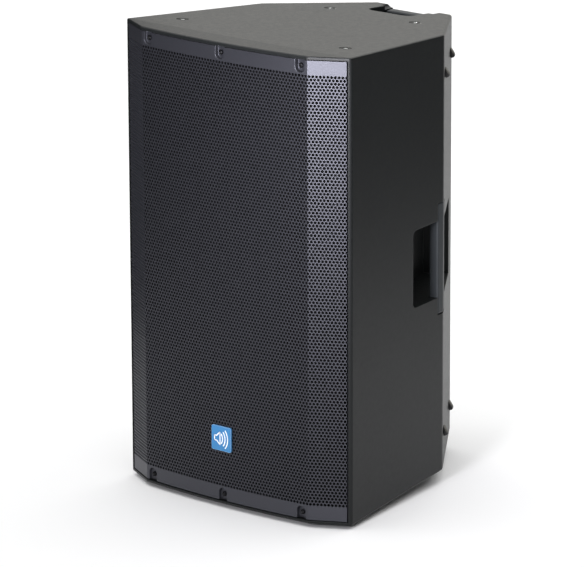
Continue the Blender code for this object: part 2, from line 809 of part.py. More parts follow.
def woofer_basket():
    """Cast frame: a front flange, a windowed cone and a rear ring for the motor."""
    profile = [(WOOFER_FLANGE_R, -0.006), (0.172, -0.006), (0.172, 0.002), (0.150, 0.040),
               (0.080, 0.086), (0.046, 0.086), (0.046, 0.092), (0.090, 0.092), (0.096, 0.088),
               (0.155, 0.043), (0.1755, 0.018), (0.1755, -GAP), (WOOFER_FLANGE_R, -GAP)]
    basket = turned("woofer_basket", profile, woofer_place())
    windows = 6
    for index in range(windows):
        turn = 2 * math.pi * (index + 0.5) / windows
        reach = 0.118
        centre = (reach * math.cos(turn), BAFFLE_Y + 0.066, WOOFER_Z + reach * math.sin(turn))
        window = rounded_box("window", (-0.030, -0.034, -0.045), (0.026, 0.026, 0.045), 0.010, 1)
        window.location = centre
        window.rotation_euler = (0, -turn, 0)
        cut(basket, window)
    return keep(basket, CAST_GREY)


def woofer_gasket():
    profile = [(0.193, -0.0098), (0.176, -0.0098), (0.176, -0.0072), (0.193, -0.0072)]
    return keep(turned("woofer_gasket", profile, woofer_place()), RUBBER)


def woofer_surround():
    """Half-round roll between the frame and the cone."""
    profile = []
    roll = 0.0085
    middle = 0.1625
    thick = 0.0008
    steps = 5
    for step in range(steps + 1):
        turn = math.pi * step / steps
        profile.append((middle + roll * math.cos(turn), -0.0068 - roll * 0.7 * math.sin(turn)))
    outside = [(0.187, -0.0068)] + profile + [(0.1528, -0.0068), (0.1528, -0.0060)]
    inside = []
    for step in range(steps + 1):
        turn = math.pi * (1 - step / steps)
        small = roll - thick
        inside.append((middle + small * math.cos(turn), -0.0062 - small * 0.66 * math.sin(turn)))
    outline = outside + inside + [(0.187, -0.0062)]
    return keep(turned("woofer_surround", outline, woofer_place()), RUBBER)


def cone_depth(radius):
    """Depth of the cone's front face behind the baffle's front."""
    return -0.004 + (0.152 - radius) * 0.66


def woofer_cone():
    thick = 0.0012
    radii = (0.152, 0.120, 0.080, 0.0385)
    front = [(r, cone_depth(r)) for r in radii]
    back = [(r, cone_depth(r) + thick) for r in reversed(radii)]
    return keep(turned("woofer_cone", front + back, woofer_place()), PAPER_BLACK)


def dust_cap():
    """Domed cap on the cone, a thin shell of one thickness."""
    edge = 0.060
    rise = 0.018
    thick = 0.0012
    steps = 4
    base = cone_depth(edge) - 0.0006
    outer = []
    inner = []
    for step in range(steps + 1):
        radius = edge * (1 - step / steps)
        lift = rise * (1 - (radius / edge) ** 2)
        outer.append((radius, base - lift - thick))
        inner.append((radius, base - lift))
    profile = outer[::-1] + inner
    return keep(turned("woofer_dust_cap", profile, woofer_place(), closed=False), PAPER_BLACK)


def voice_coil():
    """Former and winding, which hang in the motor's gap."""
    inner = 0.0371
    front = cone_depth(0.0385) + 0.0018
    rear = 0.1140
    profile = [(inner + 0.0004, front), (inner, front), (inner, rear), (inner + 0.0010, rear),
               (inner + 0.0010, 0.086), (inner + 0.0004, 0.084)]
    return keep(turned("woofer_voice_coil", profile, woofer_place()), COPPER)


def woofer_spider():
    """Corrugated disc that centres the voice coil."""
    folds = 2
    inner = 0.0382
    outer = 0.0790
    front = []
    for fold in range(2 * folds + 1):
        radius = inner + (outer - inner) * fold / (2 * folds)
        front.append((radius, 0.0812 + (0.0020 if fold % 2 else 0)))
    back = [(radius, depth + 0.0009) for radius, depth in reversed(front)]
    return keep(turned("woofer_spider", front[::-1] + back[::-1], woofer_place()), CLOTH_AMBER)


def ring(name, inner, outer, front, back, paint):
    profile = [(outer, front), (inner, front), (inner, back), (outer, back)]
    return keep(turned(name, profile, woofer_place()), paint)


def woofer_motor():
    ring("woofer_top_plate", 0.0388, 0.085, 0.0924, 0.1004, ZINC)
    ring("woofer_magnet", 0.050, 0.090, 0.1008, 0.1208, FERRITE)
    profile = [(0.0363, 0.0924), (0.012, 0.0924), (0.012, 0.1292), (0.085, 0.1292),
               (0.085, 0.1212), (0.0363, 0.1212)]
    return keep(turned("woofer_back_plate", profile, woofer_place()), ZINC)


# ---------------------------------------------------------------- horn and driver

def horn_place():
    return (0, BAFFLE_Y, HORN_Z)


def horn_section(bm, half_wide, half_tall, depth, power, count=28):
    """A closed loop of points between an ellipse (power 2) and a rounded oblong."""
    loop = []
    for index in range(count):
        turn = 2 * math.pi * index / count
        across = math.cos(turn)
        up = math.sin(turn)
        x = half_wide * math.copysign(abs(across) ** (2 / power), across)
        z = half_tall * math.copysign(abs(up) ** (2 / power), up)
        loop.append(bm.verts.new((x, BAFFLE_Y + depth, HORN_Z + z)))
    return loop


def horn_bore(t):
    """Half width, half height, depth and squareness of the horn's bore, mouth 0 to throat 1."""
    flare = (1 - t) ** 1.7
    half_wide = THROAT_R + (0.128 - THROAT_R) * flare
    half_tall = THROAT_R + (0.076 - THROAT_R) * flare
    return half_wide, half_tall, -0.006 + (HORN_LENGTH + 0.006) * t, 2 + 5 * (1 - t)


def horn_flare():
    """Lofted horn: bore, front flange and outside wall in one closed loop of sections."""
    wall = 0.0035
    steps = 7
    bm = bmesh.new()
    loops = [horn_section(bm, *horn_bore(1 - step / steps)) for step in range(steps + 1)]
    wide = HORN_WIDE / 2
    tall = HORN_TALL / 2
    loops.append(horn_section(bm, wide, tall, -0.006, 14))
    loops.append(horn_section(bm, wide, tall, -GAP, 14))
    for step in range(steps + 1):
        half_wide, half_tall, depth, power = horn_bore(step / steps)
        depth = max(depth, -GAP)
        loops.append(horn_section(bm, half_wide + wall, half_tall + wall, depth, power))
    for first, second in zip(loops, loops[1:] + loops[:1]):
        for index in range(len(first)):
            after = (index + 1) % len(first)
            bm.faces.new((first[index], first[after], second[after], second[index]))
    bmesh.ops.recalc_face_normals(bm, faces=bm.faces)
    return keep(mesh_object("horn_flare", bm), HORN_BLACK)


def driver_place():
    return (0, BAFFLE_Y + HORN_LENGTH + GAP, HORN_Z)


def driver_part(name, profile, paint, closed=True, steps=28):
    return keep(turned(name, profile, driver_place(), steps=steps, closed=closed), paint)


def compression_driver():
    bore = THROAT_R
    driver_part("driver_body", [(0.060, 0), (bore, 0), (bore, 0.014), (0.030, 0.026),
                                (0.030, 0.036), (0.060, 0.036)], FERRITE)
    driver_part("driver_phase_plug", [(0, 0.012), (0.006, 0.016), (0.0255, 0.0268),
                                      (0.0255, 0.0290), (0.016, 0.0318), (0, 0.0330)][::-1],
                CAST_GREY, closed=False)
    outer = []
    inner = []
    steps = 3
    for step in range(steps + 1):
        radius = 0.022 * (1 - step / steps)
        lift = 0.006 * (1 - (radius / 0.022) ** 2)
        outer.append((radius, 0.0352 + lift))
        inner.append((radius, 0.0346 + lift))
    flange = [(0.0285, 0.0346), (0.0285, 0.0352)]
    driver_part("driver_diaphragm", inner[::-1] + flange + outer, ZINC, closed=False)
    driver_part("driver_rear_cover", [(0, 0.060), (0.050, 0.060), (0.055, 0.056), (0.055, 0.0364),
                                      (0.034, 0.0364), (0.034, 0.052), (0, 0.052)],
                HORN_BLACK, closed=False)


# ---------------------------------------------------------------- connection panel

SOCKET_SPOTS = (("input_socket", 0.040), ("link_socket", -0.006))
SOCKET_X = -0.018
SWITCH_X = 0.028
SWITCH_Z = PANEL_Z + 0.040
SOCKET_BORE_R = 0.0095


def rear_plate():
    half = PANEL_WIDE / 2
    tall = PANEL_TALL / 2
    front = REAR_Y - PANEL_THICK
    plate = box("connection_panel", (-half, front, PANEL_Z - tall), (half, REAR_Y, PANEL_Z + tall))
    bevelled(plate, 0.0008, 1, 60)
    for x in (-0.036, 0.036):
        for z in (PANEL_Z - 0.055, PANEL_Z + 0.060):
            length = front - BOARD_Y - BOARD_THICK - GAP
            post = cylinder("standoff", 0.003, length + 0.001,
                            (x, front - length / 2 + 0.0005, z), FACE_BACK, 12)
            join(plate, post)
    for name, height in SOCKET_SPOTS:
        cut(plate, cylinder("socket_hole", 0.0120 + GAP, 0.02,
                            (SOCKET_X, REAR_Y, PANEL_Z + height), FACE_BACK, 32))
    cut(plate, box("switch_slot", (SWITCH_X - 0.0035, REAR_Y - 0.02, SWITCH_Z - 0.007),
                   (SWITCH_X + 0.0035, REAR_Y + 0.02, SWITCH_Z + 0.007)))
    return keep(plate, SCREW_BLACK)


def panel_socket(name, height):
    """Round connector with a flange behind the panel and a blind bore for the plug."""
    length = 0.022
    profile = [(0, length), (0.0105, length), (0.0135, length - 0.001), (0.0135, PANEL_THICK + GAP),
               (0.0120, PANEL_THICK + GAP), (0.0120, 0.0003), (SOCKET_BORE_R, 0.0003),
               (SOCKET_BORE_R, 0.016), (0, 0.016)]
    place = (SOCKET_X, REAR_Y, PANEL_Z + height)
    forward = (math.pi / 2, 0, 0)
    socket = turned(name, profile, place, forward, 20, closed=False)
    return keep(socket, SCREW_BLACK)


def mode_switch():
    """Slide switch behind the panel: its case, and the lever that moves up and down."""
    front = REAR_Y - PANEL_THICK - GAP
    case = box("mode_switch_body", (SWITCH_X - 0.006, front - 0.012, SWITCH_Z - 0.012),
               (SWITCH_X + 0.006, front, SWITCH_Z + 0.012))
    cut(case, box("switch_well", (SWITCH_X - 0.0035, front - 0.007, SWITCH_Z - 0.007),
                  (SWITCH_X + 0.0035, front + 0.01, SWITCH_Z + 0.007)))
    keep(case, SCREW_BLACK)
    lever = box("mode_switch_lever", (-0.0029, -0.0090, -0.0040), (0.0029, -0.0003, 0.0040))
    lever.location = (SWITCH_X, REAR_Y, SWITCH_Z - 0.002)
    bevelled(lever, 0.0006, 1, 60)
    return keep(lever, CERAMIC_WHITE)


def crossover():
    """The filter board behind the panel with its coils, capacitor and resistor."""
    back = BOARD_Y + BOARD_THICK
    board = box("crossover_board", (-0.042, BOARD_Y, PANEL_Z - 0.062),
                (0.042, back, PANEL_Z + 0.066))
    keep(board, BOARD_GREEN)
    face = BOARD_Y - GAP
    away = (math.pi / 2, 0, 0)
    spots = (("inductor_woofer", 0.022, 0.010, 0.020, (-0.016, -0.034)),
             ("inductor_tweeter", 0.014, 0.006, 0.014, (0.024, 0.044)))
    for name, outer, inner, tall, (x, z) in spots:
        profile = [(outer, 0), (outer, tall), (inner, tall), (inner, 0)][::-1]
        coil = turned(name, profile, (x, face, PANEL_Z + z), away, 20)
        keep(coil, COPPER)
    can = cylinder("filter_capacitor", 0.011, 0.034, (-0.018, face - 0.0115, PANEL_Z + 0.034),
                   (0, math.pi / 2, 0), 24)
    keep(can, FILM_YELLOW)
    block = box("filter_resistor", (0.022, face - 0.009, PANEL_Z - 0.050),
                (0.031, face, PANEL_Z - 0.004))
    keep(bevelled(block, 0.0006, 1, 60), CERAMIC_WHITE)


# ---------------------------------------------------------------- rigging, feet, pole socket

def fly_insert(name, x, d):
    """Threaded steel bush, flush with the top."""
    top = top_at(d) - 0.0003
    outline = [(0, -INSERT_TALL + 0.002), (THREAD_R, -INSERT_TALL + 0.002), (THREAD_R, 0),
               (INSERT_R - 0.0006, 0), (INSERT_R, -0.0006), (INSERT_R, -INSERT_TALL),
               (0, -INSERT_TALL)]
    insert = turned(name, outline, (x, FRONT_Y + d, top), (0, 0, 0), SMALL_ROUND,
                    closed=False)
    return keep(insert, ZINC)


def base_foot(name, x, d):
    """Rubber foot whose upper face follows the underside."""
    y = FRONT_Y + d
    high = bottom_at(d) - GAP
    foot = cylinder(name, FOOT_R, high, (0, 0, high / 2), sides=24)
    for vert in foot.data.vertices:
        if vert.co.z > 0:
            vert.co.z += BOTTOM_DRAFT * vert.co.y
        else:
            vert.co.x *= 0.86
            vert.co.y *= 0.86
    foot.location = (x, y, high / 2)
    return keep(foot, RUBBER)


def wedge_foot(name, side, along, height):
    """Ramp-shaped rubber foot on a rear chamfer, for standing the cabinet on its side."""
    corner, _, along_chamfer, _, out_chamfer = side_frame()
    place = corner + along_chamfer * along + out_chamfer * GAP
    foot = box(name, (-WEDGE_WIDE / 2, -WEDGE_TALL / 2, 0),
               (WEDGE_WIDE / 2, WEDGE_TALL / 2, WEDGE_PROUD))
    for vert in foot.data.vertices:
        if vert.co.z > 0:
            upper = vert.co.y * side > 0
            vert.co.x *= WEDGE_SLIM
            vert.co.y *= WEDGE_RAMP if upper else WEDGE_SLIM
    axes = Matrix(((along_chamfer.x * side, 0, out_chamfer.x * side, place.x * side),
                   (along_chamfer.y, 0, out_chamfer.y, place.y),
                   (0, side, 0, height),
                   (0, 0, 0, 1)))
    foot.matrix_world = axes
    bevelled(foot, 0.0015, 1, 24)
    return keep(foot, RUBBER)


def pole_socket():
    """Cup for a 35 mm stand pole, with a flange let into the underside."""
    wall = 0.003
    under = bottom_at(POLE_D) - 0.001
    profile = [(0, POLE_TALL + wall), (POLE_R + wall, POLE_TALL + wall), (POLE_R + wall, 0.0034),
               (POLE_R + 0.016, 0.0034), (POLE_R + 0.016, 0), (POLE_R, 0), (POLE_R, POLE_TALL),
               (0, POLE_TALL)]
    socket = turned("pole_socket", profile, (0, FRONT_Y + POLE_D, under), (0, 0, 0), ROUND,
                    closed=False)
    return keep(socket, CAST_GREY)


# ---------------------------------------------------------------- soft parts and leads

def damping_pad():
    """Wadding on the floor of the cabinet, in front of the pole socket."""
    start = 0.075
    end = 0.155
    middle = (start + end) / 2
    low = bottom_at(middle) + WALL + 0.001
    pad = box("damping_pad", (-0.150, -0.040, 0), (0.150, 0.040, 0.020))
    pad.location = (0, FRONT_Y + middle, low)
    pad.rotation_euler = (math.atan(BOTTOM_DRAFT), 0, 0)
    return keep(bevelled(pad, 0.005, 2, 60), WADDING_GREY)


def leads():
    """Leads from the crossover board to the two drive units."""
    board = BOARD_Y - GAP
    basket = BAFFLE_Y + 0.0925
    low = PANEL_Z - 0.020
    woofer = [(0.034, board, low), (0.034, board - 0.012, low), (0.044, board - 0.060, low - 0.010),
              (0.072, board - 0.110, low - 0.030), (0.0925, basket + 0.060, WOOFER_Z + 0.004),
              (0.0930, basket + 0.020, WOOFER_Z), (0.0930, basket, WOOFER_Z)]
    keep(tube("woofer_lead", woofer, 0.0022), CABLE_BLACK)
    back = driver_place()[1] + 0.0604
    high = PANEL_Z + 0.060
    driver = [(0.006, board - GAP, high), (0.006, board - 0.012, high),
              (0.008, board - 0.040, high + 0.030),
              (0.014, back + 0.090, high + 0.100), (0.014, back + 0.030, HORN_Z - 0.006),
              (0.014, back + 0.010, HORN_Z), (0.014, back, HORN_Z)]
    keep(tube("driver_lead", driver, 0.0020), CABLE_BLACK)


# ---------------------------------------------------------------- the whole cabinet

def build():
    cabinet_shell()
    side_grip("side_grip_right", 1)
    side_grip("side_grip_left", -1)
    top_handle()
    grille()
    grille_foam()
    badge()
    for index, (x, z, way) in enumerate(screw_spots(), 1):
        grille_screw(f"grille_screw_{index}", x, z)
    front_baffle()
    internal_brace()
    woofer_basket()
    woofer_gasket()
    woofer_surround()
    woofer_cone()
    dust_cap()
    voice_coil()
    woofer_spider()
    woofer_motor()
    horn_flare()
    compression_driver()
    rear_plate()
    for name, height in SOCKET_SPOTS:
        panel_socket(name, height)
    mode_switch()
    crossover()
    count = 0
    for x, d in INSERT_SPOTS:
        for side in (1, -1):
            count += 1
            fly_insert(f"fly_insert_{count}", side * x, d)
    count = 0
    for x, d in FOOT_SPOTS:
        for side in (1, -1):
            count += 1
            base_foot(f"base_foot_{count}", side * x, d)
    count = 0
    for side in (1, -1):
        for along in WEDGE_ALONG:
            for height in WEDGE_HEIGHTS:
                count += 1
                wedge_foot(f"wedge_foot_{count}", side, along, height)
    pole_socket()
    damping_pad()
    leads()


build()
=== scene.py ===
"""Looks of the two-way loudspeaker cabinet: materials, grille, badge, fixings, light and camera."""
import json
import math
import random

import bmesh
import bpy
from mathutils import Matrix, Vector, noise

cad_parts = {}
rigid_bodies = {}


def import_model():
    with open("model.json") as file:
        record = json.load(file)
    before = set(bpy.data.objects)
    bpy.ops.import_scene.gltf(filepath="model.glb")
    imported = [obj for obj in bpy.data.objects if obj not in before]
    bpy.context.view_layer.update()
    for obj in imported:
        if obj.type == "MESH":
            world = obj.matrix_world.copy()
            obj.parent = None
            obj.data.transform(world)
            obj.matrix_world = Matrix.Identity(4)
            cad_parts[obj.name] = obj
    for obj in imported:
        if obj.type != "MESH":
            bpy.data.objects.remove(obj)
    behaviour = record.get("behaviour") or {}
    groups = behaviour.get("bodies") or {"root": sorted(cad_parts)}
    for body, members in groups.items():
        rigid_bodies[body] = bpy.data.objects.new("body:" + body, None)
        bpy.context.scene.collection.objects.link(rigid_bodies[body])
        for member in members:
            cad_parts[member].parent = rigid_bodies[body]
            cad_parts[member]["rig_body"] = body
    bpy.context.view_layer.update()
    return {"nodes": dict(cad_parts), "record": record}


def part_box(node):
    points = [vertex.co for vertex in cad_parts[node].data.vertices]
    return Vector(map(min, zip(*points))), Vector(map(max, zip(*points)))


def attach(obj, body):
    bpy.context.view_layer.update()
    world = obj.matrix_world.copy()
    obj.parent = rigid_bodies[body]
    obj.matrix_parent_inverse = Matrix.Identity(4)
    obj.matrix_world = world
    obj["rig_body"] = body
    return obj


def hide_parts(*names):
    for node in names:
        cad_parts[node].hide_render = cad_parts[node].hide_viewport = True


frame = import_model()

NODES = frame["nodes"]
CABINET = "cabinet"

# Camera
LOOK_AT = Vector((0.001, -0.0642, 0.311))
CAMERA_AZIMUTH = math.radians(40.14)
CAMERA_HEIGHT = math.radians(15.40)
CAMERA_DISTANCE = 7.220
CAMERA_ROLL = math.radians(-0.23)
LENS = 298.9

# Grille sheet, as it is bent in the solids
CREASE_HALF = 0.158         # half width of the middle panel
FACET_SLOPE = 0.031 / 0.057  # how fast the outer panels fall back
ARC_RISE = 0.009            # how far the middle stands in front of the creases
SHEET = 0.0012
HALF_COLUMNS = 39           # hole pitches from the middle to the folded edge
CREASE_COLUMNS = 28.5       # hole pitches from the middle to the crease
RETURN_COLUMNS = 1.5        # hole pitches on the folded edge
ROWS = 135
HOLE = 0.40                 # hole radius as a part of the pitch
HOLE_MARGIN = 0.2           # metal beyond the last row's cells, as a part of a cell's side
STRIP_TOP = 0.0195          # plain strip above the cells of the top row
STRIP_BOTTOM = 0.0202
SCREW_X = (-0.145, 0.0, 0.145)
DIMPLE_HALF = 0.0082
DIMPLE_TALL = 0.0192
DIMPLE_ROUND = 0.0076
DIMPLE_DEEP = 0.005
DIMPLE_EDGE = 0.0022        # width of a dimple's pressed edge
FINE_STEP = 0.0004
FLANGE_NOTCH = 0.003
FLANGE_STEPS = 3
GRILLE_HEAD_TALL = 0.0026
DIMPLE_FINE_STEPS = 24      # fine steps to each side of a dimple
COARSE_STEP = 0.004
STRIP_SHARP = 50            # degrees between faces that shade as a sharp edge
PANEL_SHARP = 40
FOAM_GAP = 0.0025           # from the grille's front skin to the foam
FOAM_THICK = 0.003
FOAM_UNEVEN = 0.0003

# Connection panel
PANEL_RIM = 0.003
PANEL_SUNK = 0.0018
PANEL_SCREW_INSET = 0.0078
PANEL_HEAD_R = 0.0034
PANEL_HEAD_BELOW = 0.0002   # from the rim's level down to the heads

# Fixings of the drive units
WOOFER_HOLE_R = 0.176
UNIT_HEAD_R = 0.0048
UNIT_HEAD_TALL = 0.0032
HORN_BOLT_INSET = 0.011

# Finish: the depths say how much deeper a colour looks than the record's flat one
SHELL_DEPTH = 0.3
COAT_DEPTH = 0.35
BADGE_DEPTH = 0.62
SHELL_SHINE = 0.22
COAT_SHINE = 0.8
COAT_TINT = (0.86, 0.87, 1.0, 1.0)
# pale beige painted on the feet's upward faces, as painted light
FOOT_PAINTED_LIGHT = (0.11, 0.105, 0.09, 1.0)
WAVE_BAND = 0.314           # scale of a wave texture whose bands are 1 m apart
THREAD_PITCH = 0.00125

# Badge and pad
MARK_RAISED = 0.0003
MARK_STROKE = 0.0017
MARK_SUNK = 0.0002          # how far the mark reaches into the plate
BADGE_ROUND = 0.0030
BADGE_BEVEL = 0.0006
WAVES_FROM = 0.46           # left of the badge's middle, as a part of its half width
WAVES = (0.62, 0.88, 1.14)  # radii, as parts of the same
WAVE_SPREAD = 38
PAD_SHRINK = 0.96
PAD_PINCH = 0.05            # how far the corners are drawn in
PAD_EDGE = 0.55             # height of the rim as a part of the middle's
PAD_CROWN = 0.35
PAD_LUMP = 0.0008
PAD_LUMP_SIZE = 0.03
PAD_TILT = math.atan(0.057)

# Studio
WORLD = 0.22
BACKDROP_TINT = (1.0, 0.99, 0.94, 1.0)
FLOOR_REACH = 40.0
GLOW = 0.85                 # the floor's own light, far out
GLOW_REACH = (3.0, 7.5)     # from the cabinet, where the floor's glow starts and is full
LIGHTS = (
    # name, place, aim, width, height, power, spread in degrees, colour
    ("key", (0.60, -1.78, 0.78), (0.17, -0.2, 0.66), 0.5, 0.45, 6.0, 50, (0.95, 0.94, 1.0)),
    ("overhead", (-0.6, 0.8, 4.0), (-0.6, 0.8, 0), 11.0, 11.0, 550, 180, (1, 1, 1)),
)
CARDS = (
    # name, foot, width, height, facing in degrees, brightness; only reflections see them
    ("card_right_rear", (0.88, 0.80, 0.0), 2.2, 2.2, 120, 0.0),
    ("card_left", (-0.95, -0.12, 0.0), 1.3, 1.3, 83, 0.0),
    ("card_front_left", (-0.75, -1.15, 0.0), 1.5, 1.5, 145, 0.0),
    ("backdrop", (-2.6, 3.6, 0.0), 7.0, 3.2, 36, 1.15),
)


# ---------------------------------------------------------------- node helpers

class Recipe:
    """One material's node tree, with short calls that add nodes to it."""

    def __init__(self, name, colour, roughness, metallic=0.0):
        self.material = bpy.data.materials.new(name)
        self.material.use_nodes = True
        self.material.diffuse_color = (*colour, 1)
        self.tree = self.material.node_tree
        self.shader = self.tree.nodes["Principled BSDF"]
        self.set("Base Color", (*colour, 1))
        self.set("Roughness", roughness)
        self.set("Metallic", metallic)
        self.colour = colour
        self.where = self.add("ShaderNodeTexCoord").outputs["Object"]

    def add(self, kind, inputs=None, **settings):
        node = self.tree.nodes.new(kind)
        for key, value in settings.items():
            setattr(node, key, value)
        for key, value in (inputs or {}).items():
            self.feed(node.inputs[key], value)
        return node

    def feed(self, socket, value):
        if isinstance(value, bpy.types.NodeSocket):
            self.tree.links.new(value, socket)
        else:
            socket.default_value = value

    def set(self, name, value):
        self.feed(self.shader.inputs[name], value)

    def stretched(self, x, y, z):
        """Object coordinates with each axis scaled."""
        node = self.add("ShaderNodeMapping", {"Vector": self.where, "Scale": (x, y, z)})
        return node.outputs["Vector"]

    def grain(self, size, detail=2.0, where=None):
        """Noise from 0 to 1 whose features are about size metres across."""
        node = self.add("ShaderNodeTexNoise", {"Vector": where or self.where,
                                               "Scale": 1 / size, "Detail": detail})
        return node.outputs["Fac"]

    def cells(self, size, feature="F1", where=None):
        """Distance pattern of cells about size metres across."""
        node = self.add("ShaderNodeTexVoronoi", {"Vector": where or self.where, "Scale": 1 / size},
                        feature=feature)
        return node.outputs["Distance"]

    def remap(self, value, low, high, to_low=0.0, to_high=1.0):
        node = self.add("ShaderNodeMapRange", {"Value": value, "From Min": low, "From Max": high,
                                               "To Min": to_low, "To Max": to_high})
        return node.outputs["Result"]

    def math(self, operation, first, second):
        node = self.add("ShaderNodeMath", {0: first, 1: second}, operation=operation)
        return node.outputs[0]

    def mixed(self, factor, first, second):
        """Colour between first and second."""
        node = self.add("ShaderNodeMix", {0: factor, 6: first, 7: second}, data_type="RGBA")
        return node.outputs[2]

    def relief(self, height, depth, normal=None):
        """Bump of depth metres from a height of 0 to 1."""
        node = self.add("ShaderNodeBump", {"Height": height, "Strength": 1.0, "Distance": depth})
        if normal:
            self.feed(node.inputs["Normal"], normal)
        return node.outputs["Normal"]

    def softened(self, reach):
        """Normal that rounds the edges over reach metres."""
        return self.add("ShaderNodeBevel", {"Radius": reach}, samples=6).outputs["Normal"]

    def upward(self):
        """Upward part of the surface's normal, from -1 to 1."""
        normal = self.add("ShaderNodeNewGeometry").outputs["Normal"]
        return self.add("ShaderNodeSeparateXYZ", {0: normal}).outputs["Z"]

    def edges(self, soft):
        """Mask that is 1 along edges, from a softened normal."""
        flat = self.add("ShaderNodeNewGeometry").outputs["Normal"]
        dot = self.add("ShaderNodeVectorMath", {0: soft, 1: flat}, operation="DOT_PRODUCT")
        return self.remap(dot.outputs["Value"], 0.985, 0.88)


def tint(colour, factor):
    return tuple(channel * factor for channel in colour) + (1.0,)


# ---------------------------------------------------------------- materials

def moulded(name, colour, roughness, grain=0.0005, depth=0.00003, wear=0.25, reach=0.0012):
    """Textured moulded plastic with faint clouding and rubbed edges."""
    r = Recipe(name, colour, roughness)
    soft = r.softened(reach)
    clouds = r.grain(0.060, 4)
    mottle = r.grain(0.007, 4)
    fine = r.grain(grain, 3)
    rubbed = r.math("MULTIPLY", r.edges(soft), r.remap(r.grain(0.004, 3), 0.40, 0.68))
    base = r.mixed(clouds, tint(colour, 0.86), tint(colour, 1.16))
    base = r.mixed(r.remap(fine, 0.35, 0.75, 0.0, 0.35), base, tint(colour, 1.9))
    worn = r.mixed(r.math("MULTIPLY", rubbed, wear), base, tint(colour, 5.0))
    r.set("Base Color", worn)
    rough = r.remap(mottle, 0.3, 0.7, -0.02, 0.03)
    uneven = r.math("ADD", rough, r.remap(fine, 0.3, 0.7, -0.04, 0.04))
    r.set("Roughness", r.math("ADD", uneven, roughness))
    pits = r.cells(grain * 1.6, "SMOOTH_F1")
    height = r.math("ADD", r.math("MULTIPLY", pits, 0.5), fine)
    r.set("Normal", r.relief(height, depth, soft))
    r.set("Specular IOR Level", SHELL_SHINE)
    return r


def powder_coat(name, colour, roughness):
    """Blue-black powder coat: orange peel and fine sparkle."""
    r = Recipe(name, colour, roughness)
    peel = r.grain(0.0013, 2)
    fine = r.grain(0.00025, 1)
    base = r.mixed(r.remap(fine, 0.45, 0.80), tint(colour, 0.9), tint(colour, 2.0))
    r.set("Base Color", r.mixed(r.remap(r.grain(0.050, 3), 0.3, 0.7), base, tint(colour, 1.12)))
    r.set("Roughness", r.remap(peel, 0.3, 0.7, roughness - 0.03, roughness + 0.05))
    r.set("Normal", r.relief(r.math("ADD", peel, r.math("MULTIPLY", fine, 0.25)), 0.000035))
    r.set("Specular Tint", COAT_TINT)
    r.set("Specular IOR Level", COAT_SHINE)
    return r


def painted_board(name, colour):
    """Rolled textured paint on a wooden board."""
    r = Recipe(name, colour, 0.8)
    lumps = r.grain(0.0016, 4)
    r.set("Base Color", r.mixed(lumps, tint(colour, 0.8), tint(colour, 1.5)))
    r.set("Roughness", r.remap(lumps, 0.3, 0.7, 0.72, 0.9))
    r.set("Normal", r.relief(lumps, 0.0003))
    return r


def open_foam(name, colour):
    """Dark open-cell foam: a pitted skin."""
    r = Recipe(name, colour, 0.95)
    pores = r.cells(0.0011, "SMOOTH_F1")
    r.set("Base Color", r.mixed(r.remap(pores, 0.2, 0.6), tint(colour, 0.1), tint(colour, 0.5)))
    r.set("Specular IOR Level", 0.1)
    r.set("Normal", r.relief(pores, 0.0006))
    return r


def satin_enamel(name, colour, roughness=0.32):
    """Smooth enamel with slight unevenness and a rounded, lighter edge."""
    r = Recipe(name, colour, roughness)
    soft = r.softened(0.0006)
    base = r.mixed(r.grain(0.012, 3), tint(colour, 0.94), tint(colour, 1.06))
    r.set("Base Color", r.mixed(r.math("MULTIPLY", r.edges(soft), 0.35), base, (0.72, 0.80, 0.86, 1.0)))
    r.set("Roughness", r.remap(r.grain(0.003, 3), 0.3, 0.7, roughness - 0.04, roughness + 0.06))
    r.set("Normal", r.relief(r.grain(0.0009, 2), 0.000015, soft))
    return r


def plated(name, colour, roughness, worn=(0.42, 0.42, 0.43)):
    """Plated steel with brighter edges and a mottled finish."""
    r = Recipe(name, colour, roughness, 1.0)
    soft = r.softened(0.0003)
    base = r.mixed(r.remap(r.cells(0.0030), 0.2, 0.8), tint(colour, 0.88), tint(colour, 1.1))
    rubbed = r.math("MULTIPLY", r.edges(soft), r.remap(r.grain(0.0012, 2), 0.35, 0.6))
    r.set("Base Color", r.mixed(rubbed, base, (*worn, 1.0)))
    r.set("Roughness", r.remap(r.grain(0.0018, 4), 0.3, 0.7, roughness - 0.07, roughness + 0.09))
    r.set("Normal", r.relief(r.grain(0.0004, 3), 0.00001, soft))
    return r


def rubbery(name, colour):
    """Matt rubber with a dusty bloom."""
    r = Recipe(name, colour, 0.72)
    r.set("Base Color", r.mixed(r.remap(r.grain(0.006, 4), 0.35, 0.7), (*colour, 1), tint(colour, 2.2)))
    r.set("Roughness", r.remap(r.grain(0.002, 3), 0.3, 0.7, 0.62, 0.82))
    r.set("Normal", r.relief(r.grain(0.0006, 3), 0.00005))
    return r


def rubber_painted_lit_tops(name, colour):
    """Rubber whose upward faces are painted pale beige: painted light on their tops, unevenly speckled.
    """
    r = rubbery(name, colour)
    # painted light: the upward faces turn pale beige, the lower faces keep the dark rubber
    upward = r.remap(r.upward(), 0.1, 0.5)
    painted_light = r.math("MULTIPLY", upward, r.remap(r.grain(0.002, 3), 0.2, 0.5, 0.7, 1.0))
    r.set("Base Color", r.mixed(painted_light, (*colour, 1), FOOT_PAINTED_LIGHT))
    return r


def pulp_paper(name, colour):
    """Pressed paper pulp: short fibres in every direction."""
    r = Recipe(name, colour, 0.86)
    upright = r.grain(0.0012, 3, r.stretched(1, 1, 0.2))
    fibres = r.math("ADD", upright, r.grain(0.0012, 3, r.stretched(0.2, 1, 1)))
    fibres = r.math("MULTIPLY", fibres, 0.5)
    r.set("Base Color", r.mixed(r.remap(fibres, 0.4, 0.62), tint(colour, 0.7), tint(colour, 2.4)))
    r.set("Normal", r.relief(fibres, 0.00025))
    return r


